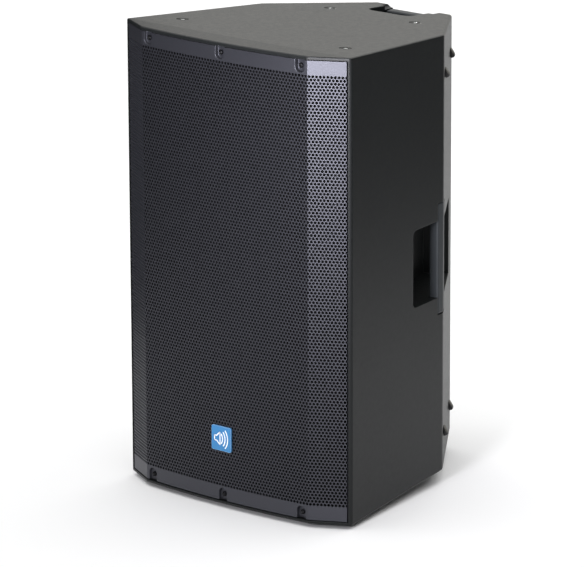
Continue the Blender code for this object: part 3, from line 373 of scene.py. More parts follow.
def sand_cast(name, colour, roughness=0.5, metallic=0.0):
    """Painted or bare casting with a sandy skin."""
    r = Recipe(name, colour, roughness, metallic)
    sand = r.math("ADD", r.grain(0.0009, 4), r.math("MULTIPLY", r.cells(0.0014), 0.5))
    r.set("Base Color", r.mixed(r.grain(0.020, 4), tint(colour, 0.82), tint(colour, 1.25)))
    r.set("Roughness", r.remap(sand, 0.5, 1.1, roughness - 0.06, roughness + 0.12))
    r.set("Normal", r.relief(sand, 0.00008))
    return r


def wound_wire(name, colour, pitch=0.00045):
    """Enamelled wire, wound side by side round the Y axis."""
    r = Recipe(name, colour, 0.3, 1.0)
    bands = r.add("ShaderNodeTexWave", {"Vector": r.where, "Scale": WAVE_BAND / pitch, "Distortion": 0.4,
                                        "Detail": 1.0}, wave_type="BANDS", bands_direction="Y")
    turns = bands.outputs["Fac"]
    r.set("Base Color", r.mixed(turns, tint(colour, 0.35), tint(colour, 1.05)))
    r.set("Roughness", r.remap(r.grain(0.002), 0.3, 0.7, 0.24, 0.42))
    r.set("Normal", r.relief(turns, 0.00015))
    return r


def circuit_board(name, colour):
    """Solder mask with paler tracks under it."""
    r = Recipe(name, colour, 0.28)
    tracks = r.cells(0.012, "DISTANCE_TO_EDGE")
    mask = r.remap(tracks, 0.055, 0.075)
    r.set("Base Color", r.mixed(mask, tint(colour, 2.2), tint(colour, 0.9)))
    r.set("Roughness", r.remap(r.grain(0.004), 0.3, 0.7, 0.22, 0.36))
    r.set("Normal", r.relief(mask, 0.00004))
    return r


def woven(name, colour, pitch=0.0007):
    """Plain weave, raised thread over thread."""
    r = Recipe(name, colour, 0.8)
    threads = []
    for direction in ("X", "Z"):
        wave = r.add("ShaderNodeTexWave", {"Vector": r.where, "Scale": WAVE_BAND / pitch,
                                           "Distortion": 0.6},
                     wave_type="BANDS", bands_direction=direction)
        threads.append(wave.outputs["Fac"])
    weave = r.math("MAXIMUM", *threads)
    r.set("Base Color", r.mixed(weave, tint(colour, 0.45), tint(colour, 1.15)))
    r.set("Roughness", r.remap(r.grain(0.003), 0.3, 0.7, 0.7, 0.9))
    r.set("Normal", r.relief(weave, 0.0002))
    return r


def fired_body(name, colour, roughness):
    """Ceramic or dipped film part: faint specks and a slightly uneven skin."""
    r = Recipe(name, colour, roughness)
    specks = r.remap(r.grain(0.0006, 2), 0.66, 0.74)
    base = r.mixed(r.grain(0.005, 3), tint(colour, 0.93), tint(colour, 1.04))
    r.set("Base Color", r.mixed(specks, base, tint(colour, 0.6)))
    r.set("Roughness", r.remap(r.grain(0.002), 0.3, 0.7, roughness - 0.05, roughness + 0.08))
    r.set("Normal", r.relief(r.grain(0.0012, 3), 0.00004, r.softened(0.0006)))
    return r


def wadding(name, colour):
    """Polyester wadding: loose tangled fibres."""
    r = Recipe(name, colour, 1.0)
    upright = r.grain(0.0024, 5, r.stretched(1, 1, 0.3))
    tangle = r.math("ADD", upright, r.grain(0.0030, 5, r.stretched(0.3, 1, 1)))
    tangle = r.math("MULTIPLY", tangle, 0.5)
    r.set("Base Color", r.mixed(r.remap(tangle, 0.36, 0.64), tint(colour, 0.55), tint(colour, 1.5)))
    r.set("Normal", r.relief(tangle, 0.0012))
    r.set("Sheen Weight", 0.3)
    return r


def threaded_bush(name, colour):
    """Zinc bush whose flush top is blackened, with its thread left bright."""
    r = Recipe(name, colour, 0.3, 1.0)
    top = r.remap(r.upward(), 0.70, 0.90)
    r.set("Base Color", r.mixed(top, tint(colour, 1.3), (0.012, 0.012, 0.012, 1.0)))
    uneven = r.remap(r.grain(0.001), 0.3, 0.7, -0.05, 0.05)
    r.set("Roughness", r.math("ADD", r.remap(top, 0.0, 1.0, 0.22, 0.55), uneven))
    thread = r.add("ShaderNodeTexWave", {"Vector": r.where, "Scale": WAVE_BAND / THREAD_PITCH},
                   wave_type="BANDS", bands_direction="Z").outputs["Fac"]
    r.set("Normal", r.relief(thread, 0.0004))
    return r


def make_materials():
    """Every slot's material, from the record's base colours."""
    colours = {m["slot"]: tuple(m["base_color"][:3]) for m in frame["record"]["materials"]}
    for slot, depth in (("shell_black", SHELL_DEPTH), ("grille_black", COAT_DEPTH),
                        ("badge_blue", BADGE_DEPTH)):
        colours[slot] = tint(colours[slot], depth)[:3]
    return {
        "shell_black": moulded("moulded_shell", colours["shell_black"], 0.42),
        "grip_black": moulded("grip_plastic", colours["grip_black"], 0.48, 0.0008, 0.00005, 0.35),
        "grille_black": powder_coat("grille_powder_coat", colours["grille_black"], 0.42),
        "baffle_black": painted_board("baffle_paint", colours["baffle_black"]),
        "foam_black": open_foam("grille_foam_cells", colours["foam_black"]),
        "badge_blue": satin_enamel("badge_enamel", colours["badge_blue"]),
        "screw_black": plated("black_plated_steel", colours["screw_black"], 0.38),
        "rubber": rubbery("rubber", colours["rubber"]),
        "paper_black": pulp_paper("cone_pulp", colours["paper_black"]),
        "cast_grey": sand_cast("cast_frame", colours["cast_grey"]),
        "ferrite": sand_cast("ferrite", colours["ferrite"], 0.55),
        "zinc": plated("zinc_plate", colours["zinc"], 0.3, (0.75, 0.75, 0.74)),
        "horn_black": moulded("horn_plastic", colours["horn_black"], 0.35, 0.0009, 0.00002, 0.1),
        "copper": wound_wire("copper_wire", colours["copper"]),
        "board_green": circuit_board("solder_mask", colours["board_green"]),
        "cloth_amber": woven("spider_cloth", colours["cloth_amber"]),
        "ceramic_white": fired_body("ceramic", colours["ceramic_white"], 0.6),
        "film_yellow": fired_body("film_wrap", colours["film_yellow"], 0.25),
        "wadding_grey": wadding("wadding", colours["wadding_grey"]),
        "cable_black": rubbery("lead_sleeve", colours["cable_black"]),
    }


def paint(obj, recipe):
    obj.data.materials.clear()
    obj.data.materials.append(recipe.material)


# ---------------------------------------------------------------- mesh helpers

def new_object(name, mesh):
    obj = bpy.data.objects.new(name, mesh)
    bpy.context.scene.collection.objects.link(obj)
    return obj


def add_piece(name, mesh, recipe, body=CABINET, replaced=()):
    """A new piece of the object, painted, riding on its body."""
    obj = new_object(name, mesh)
    paint(obj, recipe)
    if replaced:
        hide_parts(*replaced)
    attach(obj, body)
    return obj


def thick_sheet(name, outer, inner, faces, sharp):
    """Closed sheet: outer and inner skins with the same faces, joined round every open edge."""
    count = len(outer)
    seen = {}
    for face in faces:
        for a, b in zip(face, face[1:] + face[:1]):
            seen[(a, b)] = seen.get((a, b), 0) + 1
    walls = [(b, a, a + count, b + count) for a, b in seen if (b, a) not in seen]
    backs = [tuple(i + count for i in reversed(face)) for face in faces]
    mesh = bpy.data.meshes.new(name)
    mesh.from_pydata(outer + inner, [], [tuple(face) for face in faces] + backs + walls)
    mesh.shade_smooth()
    mesh.set_sharp_from_angle(angle=math.radians(sharp))
    mesh.update()
    return mesh


# ---------------------------------------------------------------- perforated grille

class GrilleSheet:
    """The bent sheet: distances along it (u) and heights (z) to places on its skins."""

    def __init__(self):
        low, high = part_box("grille")
        self.low = low.z
        self.high = high.z
        self.half = high.x
        self.back = high.y
        self.middle_y = low.y
        self.crease_y = low.y + ARC_RISE
        self.fold_y = self.crease_y + (self.half - CREASE_HALF) * FACET_SLOPE
        self.crease = CREASE_HALF * (1 + 2 / 3 * (ARC_RISE / CREASE_HALF) ** 2)
        self.fold = self.crease + (self.half - CREASE_HALF) * math.hypot(1, FACET_SLOPE)
        self.end = self.fold + self.back - self.fold_y

    def column(self, k):
        """Distance along the sheet of column k: the creases and folds fall on whole half columns."""
        if abs(k) <= CREASE_COLUMNS:
            return self.crease * k / CREASE_COLUMNS
        pitch = (self.fold - self.crease) / (HALF_COLUMNS - CREASE_COLUMNS)
        return math.copysign(self.crease + (abs(k) - CREASE_COLUMNS) * pitch, k)

    def plan(self, u, depth):
        """(x, y) at distance u along the sheet, depth behind its front skin."""
        side = math.copysign(1, u)
        u = abs(u)
        facet = Vector((1, FACET_SLOPE)).normalized()
        if u < self.crease - 1e-7:
            x = CREASE_HALF * u / self.crease
            place = Vector((x, self.crease_y - ARC_RISE * (1 - (x / CREASE_HALF) ** 2)))
            inward = Vector((-2 * ARC_RISE * x / CREASE_HALF ** 2, 1)).normalized()
        elif u < self.fold - 1e-7:
            place = Vector((CREASE_HALF, self.crease_y)) + facet * (u - self.crease)
            inward = Vector((-facet.y, facet.x))
            if u < self.crease + 1e-7:
                before = Vector((-2 * ARC_RISE / CREASE_HALF, 1)).normalized()
                inward = (inward + before) / (1 + inward.dot(before))
        else:
            place = Vector((self.half, self.fold_y + u - self.fold))
            inward = Vector((-1, 0))
            if u < self.fold + 1e-7:
                before = Vector((-facet.y, facet.x))
                inward = (inward + before) / (1 + inward.dot(before))
        place = place + inward * depth
        return side * place.x, place.y


HEX = [(0, 2), (1, 1), (1, -1), (0, -2), (-1, -1), (-1, 1)]   # a cell's corners, clockwise


def perforated_panel(sheet, name, first, last):
    """The holed part of the sheet between two columns, as one closed mesh.

    Every cell is six wedges between its hexagon and its hole, so a crease or a fold can pass
    through the middle of a hole.
    """
    limit = HALF_COLUMNS + RETURN_COLUMNS
    bottom = sheet.low + STRIP_BOTTOM
    top = sheet.high - STRIP_TOP
    side = (top - bottom) / (2 + 1.5 * (ROWS - 1) + 2 * HOLE_MARGIN)
    tall = HOLE * side * math.sqrt(3)
    index = {}
    columns = []
    outer = []
    inner = []

    def vertex(key, column, z):
        if key not in index:
            index[key] = len(outer)
            columns.append(column)
            u = math.copysign(sheet.end, column) if abs(column) > limit else sheet.column(column)
            outer.append((*sheet.plan(u, 0), z))
            inner.append((*sheet.plan(u, SHEET), z))
        return index[key]

    faces = []
    for row in range(ROWS):
        z = bottom + side * (1 + HOLE_MARGIN + 1.5 * row)
        for twice in range(2 * math.floor(first) - 2 + row % 2, 2 * math.ceil(last) + 3, 2):
            centre = twice / 2
            for s in range(6):
                ends = (HEX[s], HEX[(s + 1) % 6])
                reach = centre + 0.2 * (ends[0][0] + ends[1][0])
                if not (first < reach < last and abs(reach) < limit):
                    continue
                rim = [vertex((twice + across, 3 * row + up), centre + across / 2, z + side * up / 2)
                       for across, up in ends]
                if abs(centre) == limit:
                    faces.append(rim + [vertex((twice, 3 * row), centre, z)])
                else:
                    hole = []
                    for part in (2 * s + 2, 2 * s + 1, 2 * s):
                        turn = math.radians(90 - 30 * part)
                        hole.append(vertex(("hole", twice, row, part % 12),
                                           centre + HOLE * math.cos(turn), z + tall * math.sin(turn)))
                    faces.append(rim + hole)
                if (row == 0 and s in (2, 3)) or (row == ROWS - 1 and s in (0, 5)):
                    level = bottom if row == 0 else top
                    edge = [vertex(("edge", level, twice + across), centre + across / 2, level)
                            for across, up in ends]
                    faces.append(edge + rim[::-1])
    for way in (-1, 1):
        if first < way * limit < last:
            border = sorted((outer[i][2], i) for i, column in enumerate(columns)
                            if column == way * limit)
            for (low_z, low_i), (high_z, high_i) in zip(border, border[1:]):
                far = [vertex(("end", way, z), way * (limit + 1), z) for z in (low_z, high_z)]
                quad = [low_i, high_i, far[1], far[0]]
                faces.append(quad if way > 0 else quad[::-1])
    return thick_sheet(name, outer, inner, [face[::-1] for face in faces], PANEL_SHARP)


def dimple_depth(x, inset):
    """0 to 1: how far the sheet is pressed in at x, inset from the grille's edge."""
    pressed = 0.0
    for centre in SCREW_X:
        across = abs(x - centre) - (DIMPLE_HALF - DIMPLE_ROUND)
        along = inset - (DIMPLE_TALL - DIMPLE_ROUND)
        outside = math.hypot(max(across, 0), max(along, 0)) + min(max(across, along), 0) - DIMPLE_ROUND
        t = min(max(-outside / DIMPLE_EDGE, 0), 1)
        pressed = max(pressed, t * t * (3 - 2 * t))
    return pressed


def strip_columns(sheet):
    """Distances along the sheet for a plain strip: close together across the dimples."""
    marks = {-sheet.end, sheet.end}
    for way in (-1, 1):
        marks.update((way * sheet.crease, way * sheet.fold, way * (sheet.fold - FLANGE_NOTCH)))
    for centre in SCREW_X:
        marks.update(centre + step * FINE_STEP for step in
                     range(-DIMPLE_FINE_STEPS, DIMPLE_FINE_STEPS + 1))
    marks = sorted(marks)
    filled = []
    for a, b in zip(marks, marks[1:]):
        steps = max(1, math.ceil((b - a) / COARSE_STEP))
        filled += [a + (b - a) * step / steps for step in range(steps)]
    return filled + [marks[-1]]


def plain_strip(sheet, name, way):
    """The sheet above (way 1) or below (way -1) the holes, with its dimples and folded flange."""
    edge = sheet.high if way > 0 else sheet.low
    tall = STRIP_TOP if way > 0 else STRIP_BOTTOM
    columns = strip_columns(sheet)
    heights = math.ceil(tall / FINE_STEP)
    outer = []
    inner = []
    index = {}

    def vertex(i, j):
        if (i, j) in index:
            return index[(i, j)]
        index[(i, j)] = len(outer)
        u = columns[i]
        inset = tall * (1 - min(j, heights) / heights)
        back = max(j - heights, 0) / FLANGE_STEPS
        for depth, skin in ((0, outer), (SHEET, inner)):
            x, y = sheet.plan(u, depth)
            pressed = dimple_depth(x, inset)
            if pressed:
                centre = min(SCREW_X, key=lambda spot: abs(spot - x))
                floor = sheet.plan(centre, 0)[1] + DIMPLE_DEEP + depth
                y += (floor - y) * pressed
            y += (sheet.back - y) * back
            z = edge - way * inset
            if depth and inset < tall:
                z -= way * depth * (1 - inset / tall)
            skin.append((x, y, z))
        return index[(i, j)]

    faces = []
    for i in range(len(columns) - 1):
        middle = abs(columns[i] + columns[i + 1]) / 2
        rows = heights + (FLANGE_STEPS if middle < sheet.fold - FLANGE_NOTCH else 0)
        for j in range(rows):
            quad = [vertex(i, j), vertex(i + 1, j), vertex(i + 1, j + 1), vertex(i, j + 1)]
            faces.append(quad if way > 0 else quad[::-1])
    mesh = thick_sheet(name, outer, inner, faces, STRIP_SHARP)
    bends = {round(plan[0], 6) for u in (sheet.crease, sheet.fold) for plan in
             (sheet.plan(way * u, depth) for way in (-1, 1) for depth in (0, SHEET))}
    for line in mesh.edges:
        if all(round(mesh.vertices[v].co.x, 6) in bends for v in line.vertices):
            line.use_edge_sharp = True
    return mesh


def make_grille(coat):
    """The perforated grille in seven sheets that meet edge to edge."""
    sheet = GrilleSheet()
    end = HALF_COLUMNS + RETURN_COLUMNS + 1
    panels = [("grille_left", -end, -CREASE_COLUMNS), ("grille_middle_left", -CREASE_COLUMNS, -9.5),
              ("grille_middle", -9.5, 9.5), ("grille_middle_right", 9.5, CREASE_COLUMNS),
              ("grille_right", CREASE_COLUMNS, end)]
    for name, first, last in panels:
        mesh = perforated_panel(sheet, name, first, last)
        add_piece(name, mesh, coat, replaced=("grille",))
    for name, way in (("grille_top_strip", 1), ("grille_bottom_strip", -1)):
        add_piece(name, plain_strip(sheet, name, way), coat, replaced=("grille",))
    return sheet


def make_foam(sheet, recipe):
    """Open-cell foam just behind the grille, slightly uneven."""
    low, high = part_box("grille_foam")
    across = 96
    up = 150
    reach = sheet.fold - 0.004
    outer = []
    inner = []
    for j in range(up + 1):
        z = low.z + (high.z - low.z) * j / up
        for i in range(across + 1):
            u = reach * (2 * i / across - 1)
            swell = FOAM_UNEVEN * noise.noise(Vector((u, 0, z)) / 0.012)
            outer.append((*sheet.plan(u, FOAM_GAP + FOAM_UNEVEN + swell), z))
            inner.append((*sheet.plan(u, FOAM_GAP + FOAM_THICK - swell), z))
    row = across + 1
    faces = [(j * row + i, j * row + i + 1, (j + 1) * row + i + 1, (j + 1) * row + i)
             for j in range(up) for i in range(across)]
    mesh = thick_sheet("grille_foam_sheet", outer, inner, faces, 60)
    foam = add_piece("grille_foam_sheet", mesh, recipe, replaced=("grille_foam",))


# ---------------------------------------------------------------- fixings

def ring_faces(rings, count):
    """Quads between successive rings of count vertices."""
    faces = []
    for ring in range(rings - 1):
        low = ring * count
        for i in range(count):
            j = (i + 1) % count
            faces.append((low + i, low + j, low + count + j, low + count + i))
    return faces


def turned_mesh(name, profile, count=32):
    """Closed solid turned round +Z from (radius, height) points that start and end near the axis."""
    verts = []
    for radius, height in profile:
        for i in range(count):
            turn = 2 * math.pi * i / count
            verts.append((radius * math.cos(turn), radius * math.sin(turn), height))
    faces = ring_faces(len(profile), count)
    faces.append(tuple(reversed(range(count))))
    faces.append(tuple(range(len(verts) - count, len(verts))))
    mesh = bpy.data.meshes.new(name)
    mesh.from_pydata(verts, [], faces)
    return mesh


def carved(mesh, cutter, name):
    """mesh less cutter, as a new mesh."""
    target = new_object("carve_target", mesh)
    tool = new_object("carve_tool", cutter)
    step = target.modifiers.new("carve", "BOOLEAN")
    step.operation = "DIFFERENCE"
    step.solver = "EXACT"
    step.object = tool
    bpy.context.view_layer.update()
    result = bpy.data.meshes.new_from_object(target.evaluated_get(bpy.context.evaluated_depsgraph_get()))
    result.name = name
    bpy.data.objects.remove(target)
    bpy.data.objects.remove(tool)
    result.shade_smooth()
    result.set_sharp_from_angle(angle=math.radians(32))
    return result


def cross_cutter(radius, depth):
    """Cross with sides that close in towards its bottom."""
    wide = 0.21 * radius
    corner = [(radius, -wide), (radius, wide), (wide, wide)]
    outline = []
    for _ in range(4):
        outline += corner
        corner = [(-y, x) for x, y in corner]
    bm = bmesh.new()
    rings = [[bm.verts.new((x * narrow, y * narrow, z)) for x, y in outline]
             for narrow, z in ((0.45, -depth / 2), (1.0, depth / 2))]
    bm.faces.new(rings[0])
    bm.faces.new(rings[1])
    for i in range(len(outline)):
        j = (i + 1) % len(outline)
        bm.faces.new((rings[0][i], rings[0][j], rings[1][j], rings[1][i]))
    bmesh.ops.recalc_face_normals(bm, faces=bm.faces)
    mesh = bpy.data.meshes.new("cross")
    bm.to_mesh(mesh)
    bm.free()
    return mesh


def pan_head(name, radius, tall):
    """Pan head with a cross recess, its foot at the origin and its top towards +Z."""
    shape = ((0.98, 0), (1, 0.12), (1, 0.40), (0.95, 0.64), (0.82, 0.84), (0.60, 0.96), (0.30, 1))
    profile = [(radius * across, tall * up) for across, up in shape]
    head = turned_mesh(name, profile)
    cross = cross_cutter(radius * 0.52, tall * 1.3)
    cross.transform(Matrix.Translation((0, 0, tall)))
    return carved(head, cross, name)


def place_heads(name, head, spots, direction, recipe, replaced=()):
    """One head at each spot, facing direction, each turned a little differently."""
    spin = random.Random(name)
    facing = Vector(direction).to_track_quat("Z", "Y").to_matrix().to_4x4()
    for number, spot in enumerate(spots, 1):
        mesh = head.copy()
        turn = Matrix.Rotation(spin.uniform(0, math.pi), 4, "Z")
        mesh.transform(Matrix.Translation(spot) @ facing @ turn)
        stands_for = (replaced[number - 1],) if replaced else ()
        add_piece(f"{name}_{number}", mesh, recipe, replaced=stands_for)


def make_panel(materials):
    """The connection panel as a shallow dish, its rim level with the rear face."""
    low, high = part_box("connection_panel")
    middle = (low + high) / 2
    half = (high - low) / 2
    bm = bmesh.new()
    outline = [(middle.x + x, middle.z + z)
               for x, z in rounded_outline(half.x - PANEL_RIM, half.z - PANEL_RIM, 0.005)]
    slab(bm, outline, high.y - PANEL_SUNK, high.y + 0.01)
    bmesh.ops.recalc_face_normals(bm, faces=bm.faces)
    dish = bpy.data.meshes.new("panel_dish")
    bm.to_mesh(dish)
    bm.free()
    plate = NODES["connection_panel"].data.copy()
    plate.transform(NODES["connection_panel"].matrix_world)
    add_piece("panel_plate", carved(plate, dish, "panel_plate"), materials["panel_black"],
              replaced=("connection_panel",))
    reach = half - Vector((PANEL_SCREW_INSET, 0, PANEL_SCREW_INSET))
    spots = [(middle.x + x * reach.x, high.y - PANEL_SUNK, middle.z + z * reach.z)
             for x in (-1, 1) for z in (-1, 1)]
    head = pan_head("panel_head", PANEL_HEAD_R, PANEL_SUNK - PANEL_HEAD_BELOW)
    place_heads("panel_screw", head, spots, (0, 1, 0), materials["screw_black"])


def make_fixings(materials):
    """Screw heads of the grille, the woofer and the horn."""
    black = materials["screw_black"]
    names = [f"grille_screw_{i}" for i in range(1, 7)]
    spots = []
    for name in names:
        low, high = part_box(name)
        spots.append(((low.x + high.x) / 2, low.y + GRILLE_HEAD_TALL, (low.z + high.z) / 2))
    head = pan_head("grille_head", (high.x - low.x) / 2, GRILLE_HEAD_TALL)
    place_heads("grille_screw_head", head, spots, (0, -1, 0), black, names)
    low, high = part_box("woofer_gasket")
    middle = (low + high) / 2
    ring = (high.x + WOOFER_HOLE_R) / 2
    spots = []
    for i in range(8):
        turn = 2 * math.pi * (i + 0.5) / 8
        spots.append((middle.x + ring * math.cos(turn), low.y, middle.z + ring * math.sin(turn)))
    bolt = pan_head("unit_head", UNIT_HEAD_R, UNIT_HEAD_TALL)
    place_heads("woofer_bolt", bolt, spots, (0, -1, 0), black)
    low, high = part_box("horn_flare")
    middle = (low + high) / 2
    spots = []
    for x, z in ((-1, -1), (0, -1), (1, -1), (-1, 0), (1, 0), (-1, 1), (0, 1), (1, 1)):
        spots.append((x * (high.x - HORN_BOLT_INSET), low.y,
                      middle.z + z * ((high.z - low.z) / 2 - HORN_BOLT_INSET)))
    place_heads("horn_bolt", bolt, spots, (0, -1, 0), black)


# ---------------------------------------------------------------- badge

def rounded_outline(half_x, half_z, radius, steps=6):
    """Anticlockwise rounded oblong in x and z."""
    points = []
    for x, z, start in ((1, -1, 270), (1, 1, 0), (-1, 1, 90), (-1, -1, 180)):
        for step in range(steps + 1):
            turn = math.radians(start + 90 * step / steps)
            points.append((x * (half_x - radius) + radius * math.cos(turn),
                           z * (half_z - radius) + radius * math.sin(turn)))
    return points


def ribbon(path, width):
    """Outline of a stroke of one width along an open path in x and z, with round ends."""
    points = [Vector(p) for p in path]
    sides = []
    for i, here in enumerate(points):
        before = points[max(i - 1, 0)]
        after = points[min(i + 1, len(points) - 1)]
        along = (after - before).normalized()
        normal = Vector((-along.y, along.x))
        if 0 < i < len(points) - 1:
            bend = (here - before).normalized()
            normal /= max(normal.dot(Vector((-bend.y, bend.x))), 0.5)
        sides.append(normal * width / 2)
    left = [p + side for p, side in zip(points, sides)]
    right = [p - side for p, side in zip(points, sides)]
    caps = []
    for tip, side, sense in ((points[-1], sides[-1], -1), (points[0], -sides[0], -1)):
        caps.append([tip + Matrix.Rotation(sense * math.pi * step / 6, 2) @ side for step in range(1, 6)])
    return left + caps[0] + right[::-1] + caps[1]


def slab(bm, outline, front, back):
    """Flat solid between two depths from an outline in x and z."""
    near = [bm.verts.new((x, front, z)) for x, z in outline]
    far = [bm.verts.new((x, back, z)) for x, z in outline]
    bm.faces.new(near)
    bm.faces.new(far[::-1])
    for i in range(len(outline)):
        j = (i + 1) % len(outline)
        bm.faces.new((near[i], far[i], far[j], near[j]))


def arc_path(centre, radius, start, end, steps=14):
    turns = [math.radians(start + (end - start) * step / steps) for step in range(steps + 1)]
    return [(centre[0] + radius * math.cos(turn), centre[1] + radius * math.sin(turn)) for turn in turns]


def make_badge(materials):
    """Enamelled plate with a raised generic sound mark: a cone and three waves."""
    low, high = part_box("badge")
    middle = (low + high) / 2
    half = (high.x - low.x) / 2
    front = low.y
    face = front + MARK_RAISED
    bm = bmesh.new()
    outline = [(middle.x + x, middle.z + z) for x, z in rounded_outline(half, half, BADGE_ROUND)]
    slab(bm, outline, face, high.y)
    bmesh.ops.recalc_face_normals(bm, faces=bm.faces)
    rim = [edge for edge in bm.edges if all(abs(v.co.y - face) < 1e-6 for v in edge.verts)]
    bmesh.ops.bevel(bm, geom=rim, offset=BADGE_BEVEL, segments=3, affect="EDGES")
    plate = bpy.data.meshes.new("badge_plate")
    bm.to_mesh(plate)
    bm.free()
    plate.shade_smooth()
    plate.set_sharp_from_angle(angle=math.radians(35))
    add_piece("badge_plate", plate, materials["badge_blue"], replaced=("badge",))
    start = (middle.x - WAVES_FROM * half, middle.z)
    speaker = ([(-0.66, -0.20), (-0.66, 0.20)], [(-0.66, 0.20), (-0.44, 0.20), (-0.10, 0.52)],
               [(-0.10, 0.52), (-0.10, -0.52)], [(-0.10, -0.52), (-0.44, -0.20), (-0.66, -0.20)])
    strokes = [[(middle.x + x * half, middle.z + z * half) for x, z in path] for path in speaker]
    for reach in WAVES:
        strokes.append(arc_path(start, reach * half, -WAVE_SPREAD, WAVE_SPREAD))
    bm = bmesh.new()
    for path in strokes:
        slab(bm, ribbon(path, MARK_STROKE), front, face + MARK_SUNK)
    bmesh.ops.recalc_face_normals(bm, faces=bm.faces)
    mark = bpy.data.meshes.new("badge_mark")
    bm.to_mesh(mark)
    bm.free()
    add_piece("badge_mark", mark, materials["mark_white"])


# ---------------------------------------------------------------- damping pad

def make_pad(recipe):
    """Wadding on the floor of the cabinet: a crowned pad with soft, lumpy edges."""
    node = NODES["damping_pad"]
    low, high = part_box("damping_pad")
    middle = (low + high) / 2
    half = (high - low) / 2 * PAD_SHRINK
    bm = bmesh.new()
    bmesh.ops.create_cube(bm, size=2)
    bmesh.ops.subdivide_edges(bm, edges=bm.edges[:], cuts=31, use_grid_fill=True)
    for vert in bm.verts:
        place = vert.co.copy()
        pull = 1 - PAD_PINCH * (abs(place.x) ** 6 + abs(place.y) ** 6)
        crown = (1 - abs(place.x) ** 4) * (1 - abs(place.y) ** 4)
        vert.co.x = place.x * half.x * pull
        vert.co.y = place.y * half.y * pull
        vert.co.z = place.z * half.z * (PAD_EDGE + PAD_CROWN * crown)
        lump = noise.fractal(Vector((vert.co.x, vert.co.y, vert.co.z)) / PAD_LUMP_SIZE, 0.6, 2.0, 4)
        vert.co += vert.co.normalized() * PAD_LUMP * lump
    mesh = bpy.data.meshes.new("wadding_pad")
    bm.to_mesh(mesh)
    bm.free()
    tilt = Matrix.Rotation(PAD_TILT, 4, "X")
    mesh.transform(Matrix.Translation(middle) @ tilt)
    mesh.shade_smooth()
    pad = add_piece("wadding_pad", mesh, recipe, body=node["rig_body"],
                    replaced=("damping_pad",))


# ---------------------------------------------------------------- studio

def floor_material():
    """Pale paper that glows far out, where the overhead lamp doesn't reach."""
    r = Recipe("studio_floor", (0.92, 0.92, 0.92), 0.9)
    far = r.add("ShaderNodeVectorMath", {0: r.where}, operation="LENGTH").outputs["Value"]
    r.set("Emission Color", (1, 1, 1, 1))
    r.set("Emission Strength", r.remap(far, *GLOW_REACH, 0.0, GLOW))
    r.set("Base Color", r.mixed(r.grain(0.35, 3), (0.915, 0.915, 0.915, 1), (0.925, 0.925, 0.925, 1)))
    r.set("Specular IOR Level", 0.1)
    return r


def make_stage():
    """A wide pale floor, and the cards that only reflections see."""
    floor_mesh = bpy.data.meshes.new("studio_floor")
    reach = FLOOR_REACH
    corners = [(-reach, -reach, 0), (reach, -reach, 0), (reach, reach, 0), (-reach, reach, 0)]
    floor_mesh.from_pydata(corners, [], [(0, 1, 2, 3)])
    floor = new_object("studio_floor", floor_mesh)
    paint(floor, floor_material())
    for name, place, wide, tall, facing, bright in CARDS:
        mesh = bpy.data.meshes.new(name)
        half = wide / 2
        mesh.from_pydata([(-half, 0, 0), (half, 0, 0), (half, 0, tall), (-half, 0, tall)],
                         [], [(0, 1, 2, 3)])
        card = new_object(name, mesh)
        cloth = Recipe(name, (0.004, 0.004, 0.004), 1.0)
        cloth.set("Emission Color", BACKDROP_TINT)
        cloth.set("Emission Strength", bright)
        paint(card, cloth)
        card.location = place
        card.rotation_euler = (0, 0, math.radians(facing))
        card.visible_camera = False
        card.visible_diffuse = False
        card.visible_shadow = False


def area_light(name, place, aim, wide, tall, power, spread, colour):
    data = bpy.data.lights.new(name, "AREA")
    data.shape = "RECTANGLE"
    data.size = wide
    data.size_y = tall
    data.energy = power
    data.color = colour
    data.spread = math.radians(spread)
    lamp = bpy.data.objects.new(name, data)
    bpy.context.scene.collection.objects.link(lamp)
    lamp.location = place
    lamp.rotation_euler = (Vector(aim) - Vector(place)).to_track_quat("-Z", "Y").to_euler()
    return lamp


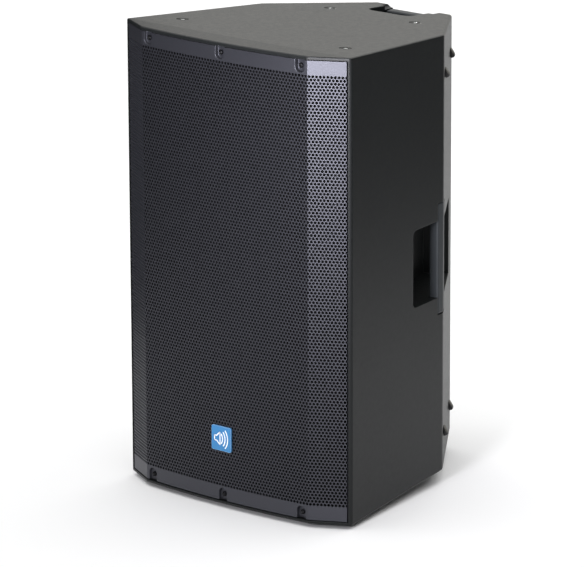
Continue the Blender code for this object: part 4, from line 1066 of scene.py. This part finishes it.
def make_light():
    """A world that is white to look at and dim as a light, and the lamps."""
    world = bpy.data.worlds.new("studio")
    world.use_nodes = True
    tree = world.node_tree
    background = tree.nodes["Background"]
    background.inputs["Color"].default_value = (1, 1, 1, 1)
    path = tree.nodes.new("ShaderNodeLightPath")
    level = tree.nodes.new("ShaderNodeMath")
    level.operation = "MULTIPLY_ADD"
    level.inputs[1].default_value = 1 - WORLD
    level.inputs[2].default_value = WORLD
    tree.links.new(path.outputs["Is Camera Ray"], level.inputs[0])
    tree.links.new(level.outputs["Value"], background.inputs["Strength"])
    bpy.context.scene.world = world
    for light in LIGHTS:
        area_light(*light)
    bpy.context.scene.view_settings.view_transform = "Standard"


def make_camera():
    data = bpy.data.cameras.new("camera")
    data.lens = LENS
    data.clip_end = 100
    camera = bpy.data.objects.new("camera", data)
    bpy.context.scene.collection.objects.link(camera)
    back = Vector((math.sin(CAMERA_AZIMUTH) * math.cos(CAMERA_HEIGHT),
                   -math.cos(CAMERA_AZIMUTH) * math.cos(CAMERA_HEIGHT), math.sin(CAMERA_HEIGHT)))
    turn = (-back).to_track_quat("-Z", "Y").to_matrix() @ Matrix.Rotation(CAMERA_ROLL, 3, "Z")
    camera.matrix_world = Matrix.Translation(LOOK_AT + back * CAMERA_DISTANCE) @ turn.to_4x4()
    bpy.context.scene.camera = camera


# ---------------------------------------------------------------- the whole scene

def paint_nodes(materials):
    """Every CAD node that shows gets its slot's material."""
    for part in frame["record"]["subparts"]:
        paint(NODES[part["node"]], materials[part["material_slot"]])
    # the feet: dark rubber with painted light on their upward faces
    foot = rubber_painted_lit_tops("rubber_painted_lit_tops", (0.015, 0.015, 0.016))
    for number in range(1, 9):
        paint(NODES[f"wedge_foot_{number}"], foot)
    bush = threaded_bush("threaded_bush", (0.56, 0.57, 0.56))
    for number in range(1, 5):
        paint(NODES[f"fly_insert_{number}"], bush)


materials = make_materials()
materials["panel_black"] = powder_coat("panel_paint", (0.016, 0.016, 0.018), 0.5)
materials["mark_white"] = satin_enamel("mark_enamel", (0.86, 0.88, 0.90), 0.35)
paint_nodes(materials)
grille = make_grille(materials["grille_black"])
make_foam(grille, materials["foam_black"])
make_fixings(materials)
make_panel(materials)
make_badge(materials)
make_pad(materials["wadding_grey"])
make_stage()
make_light()
make_camera()
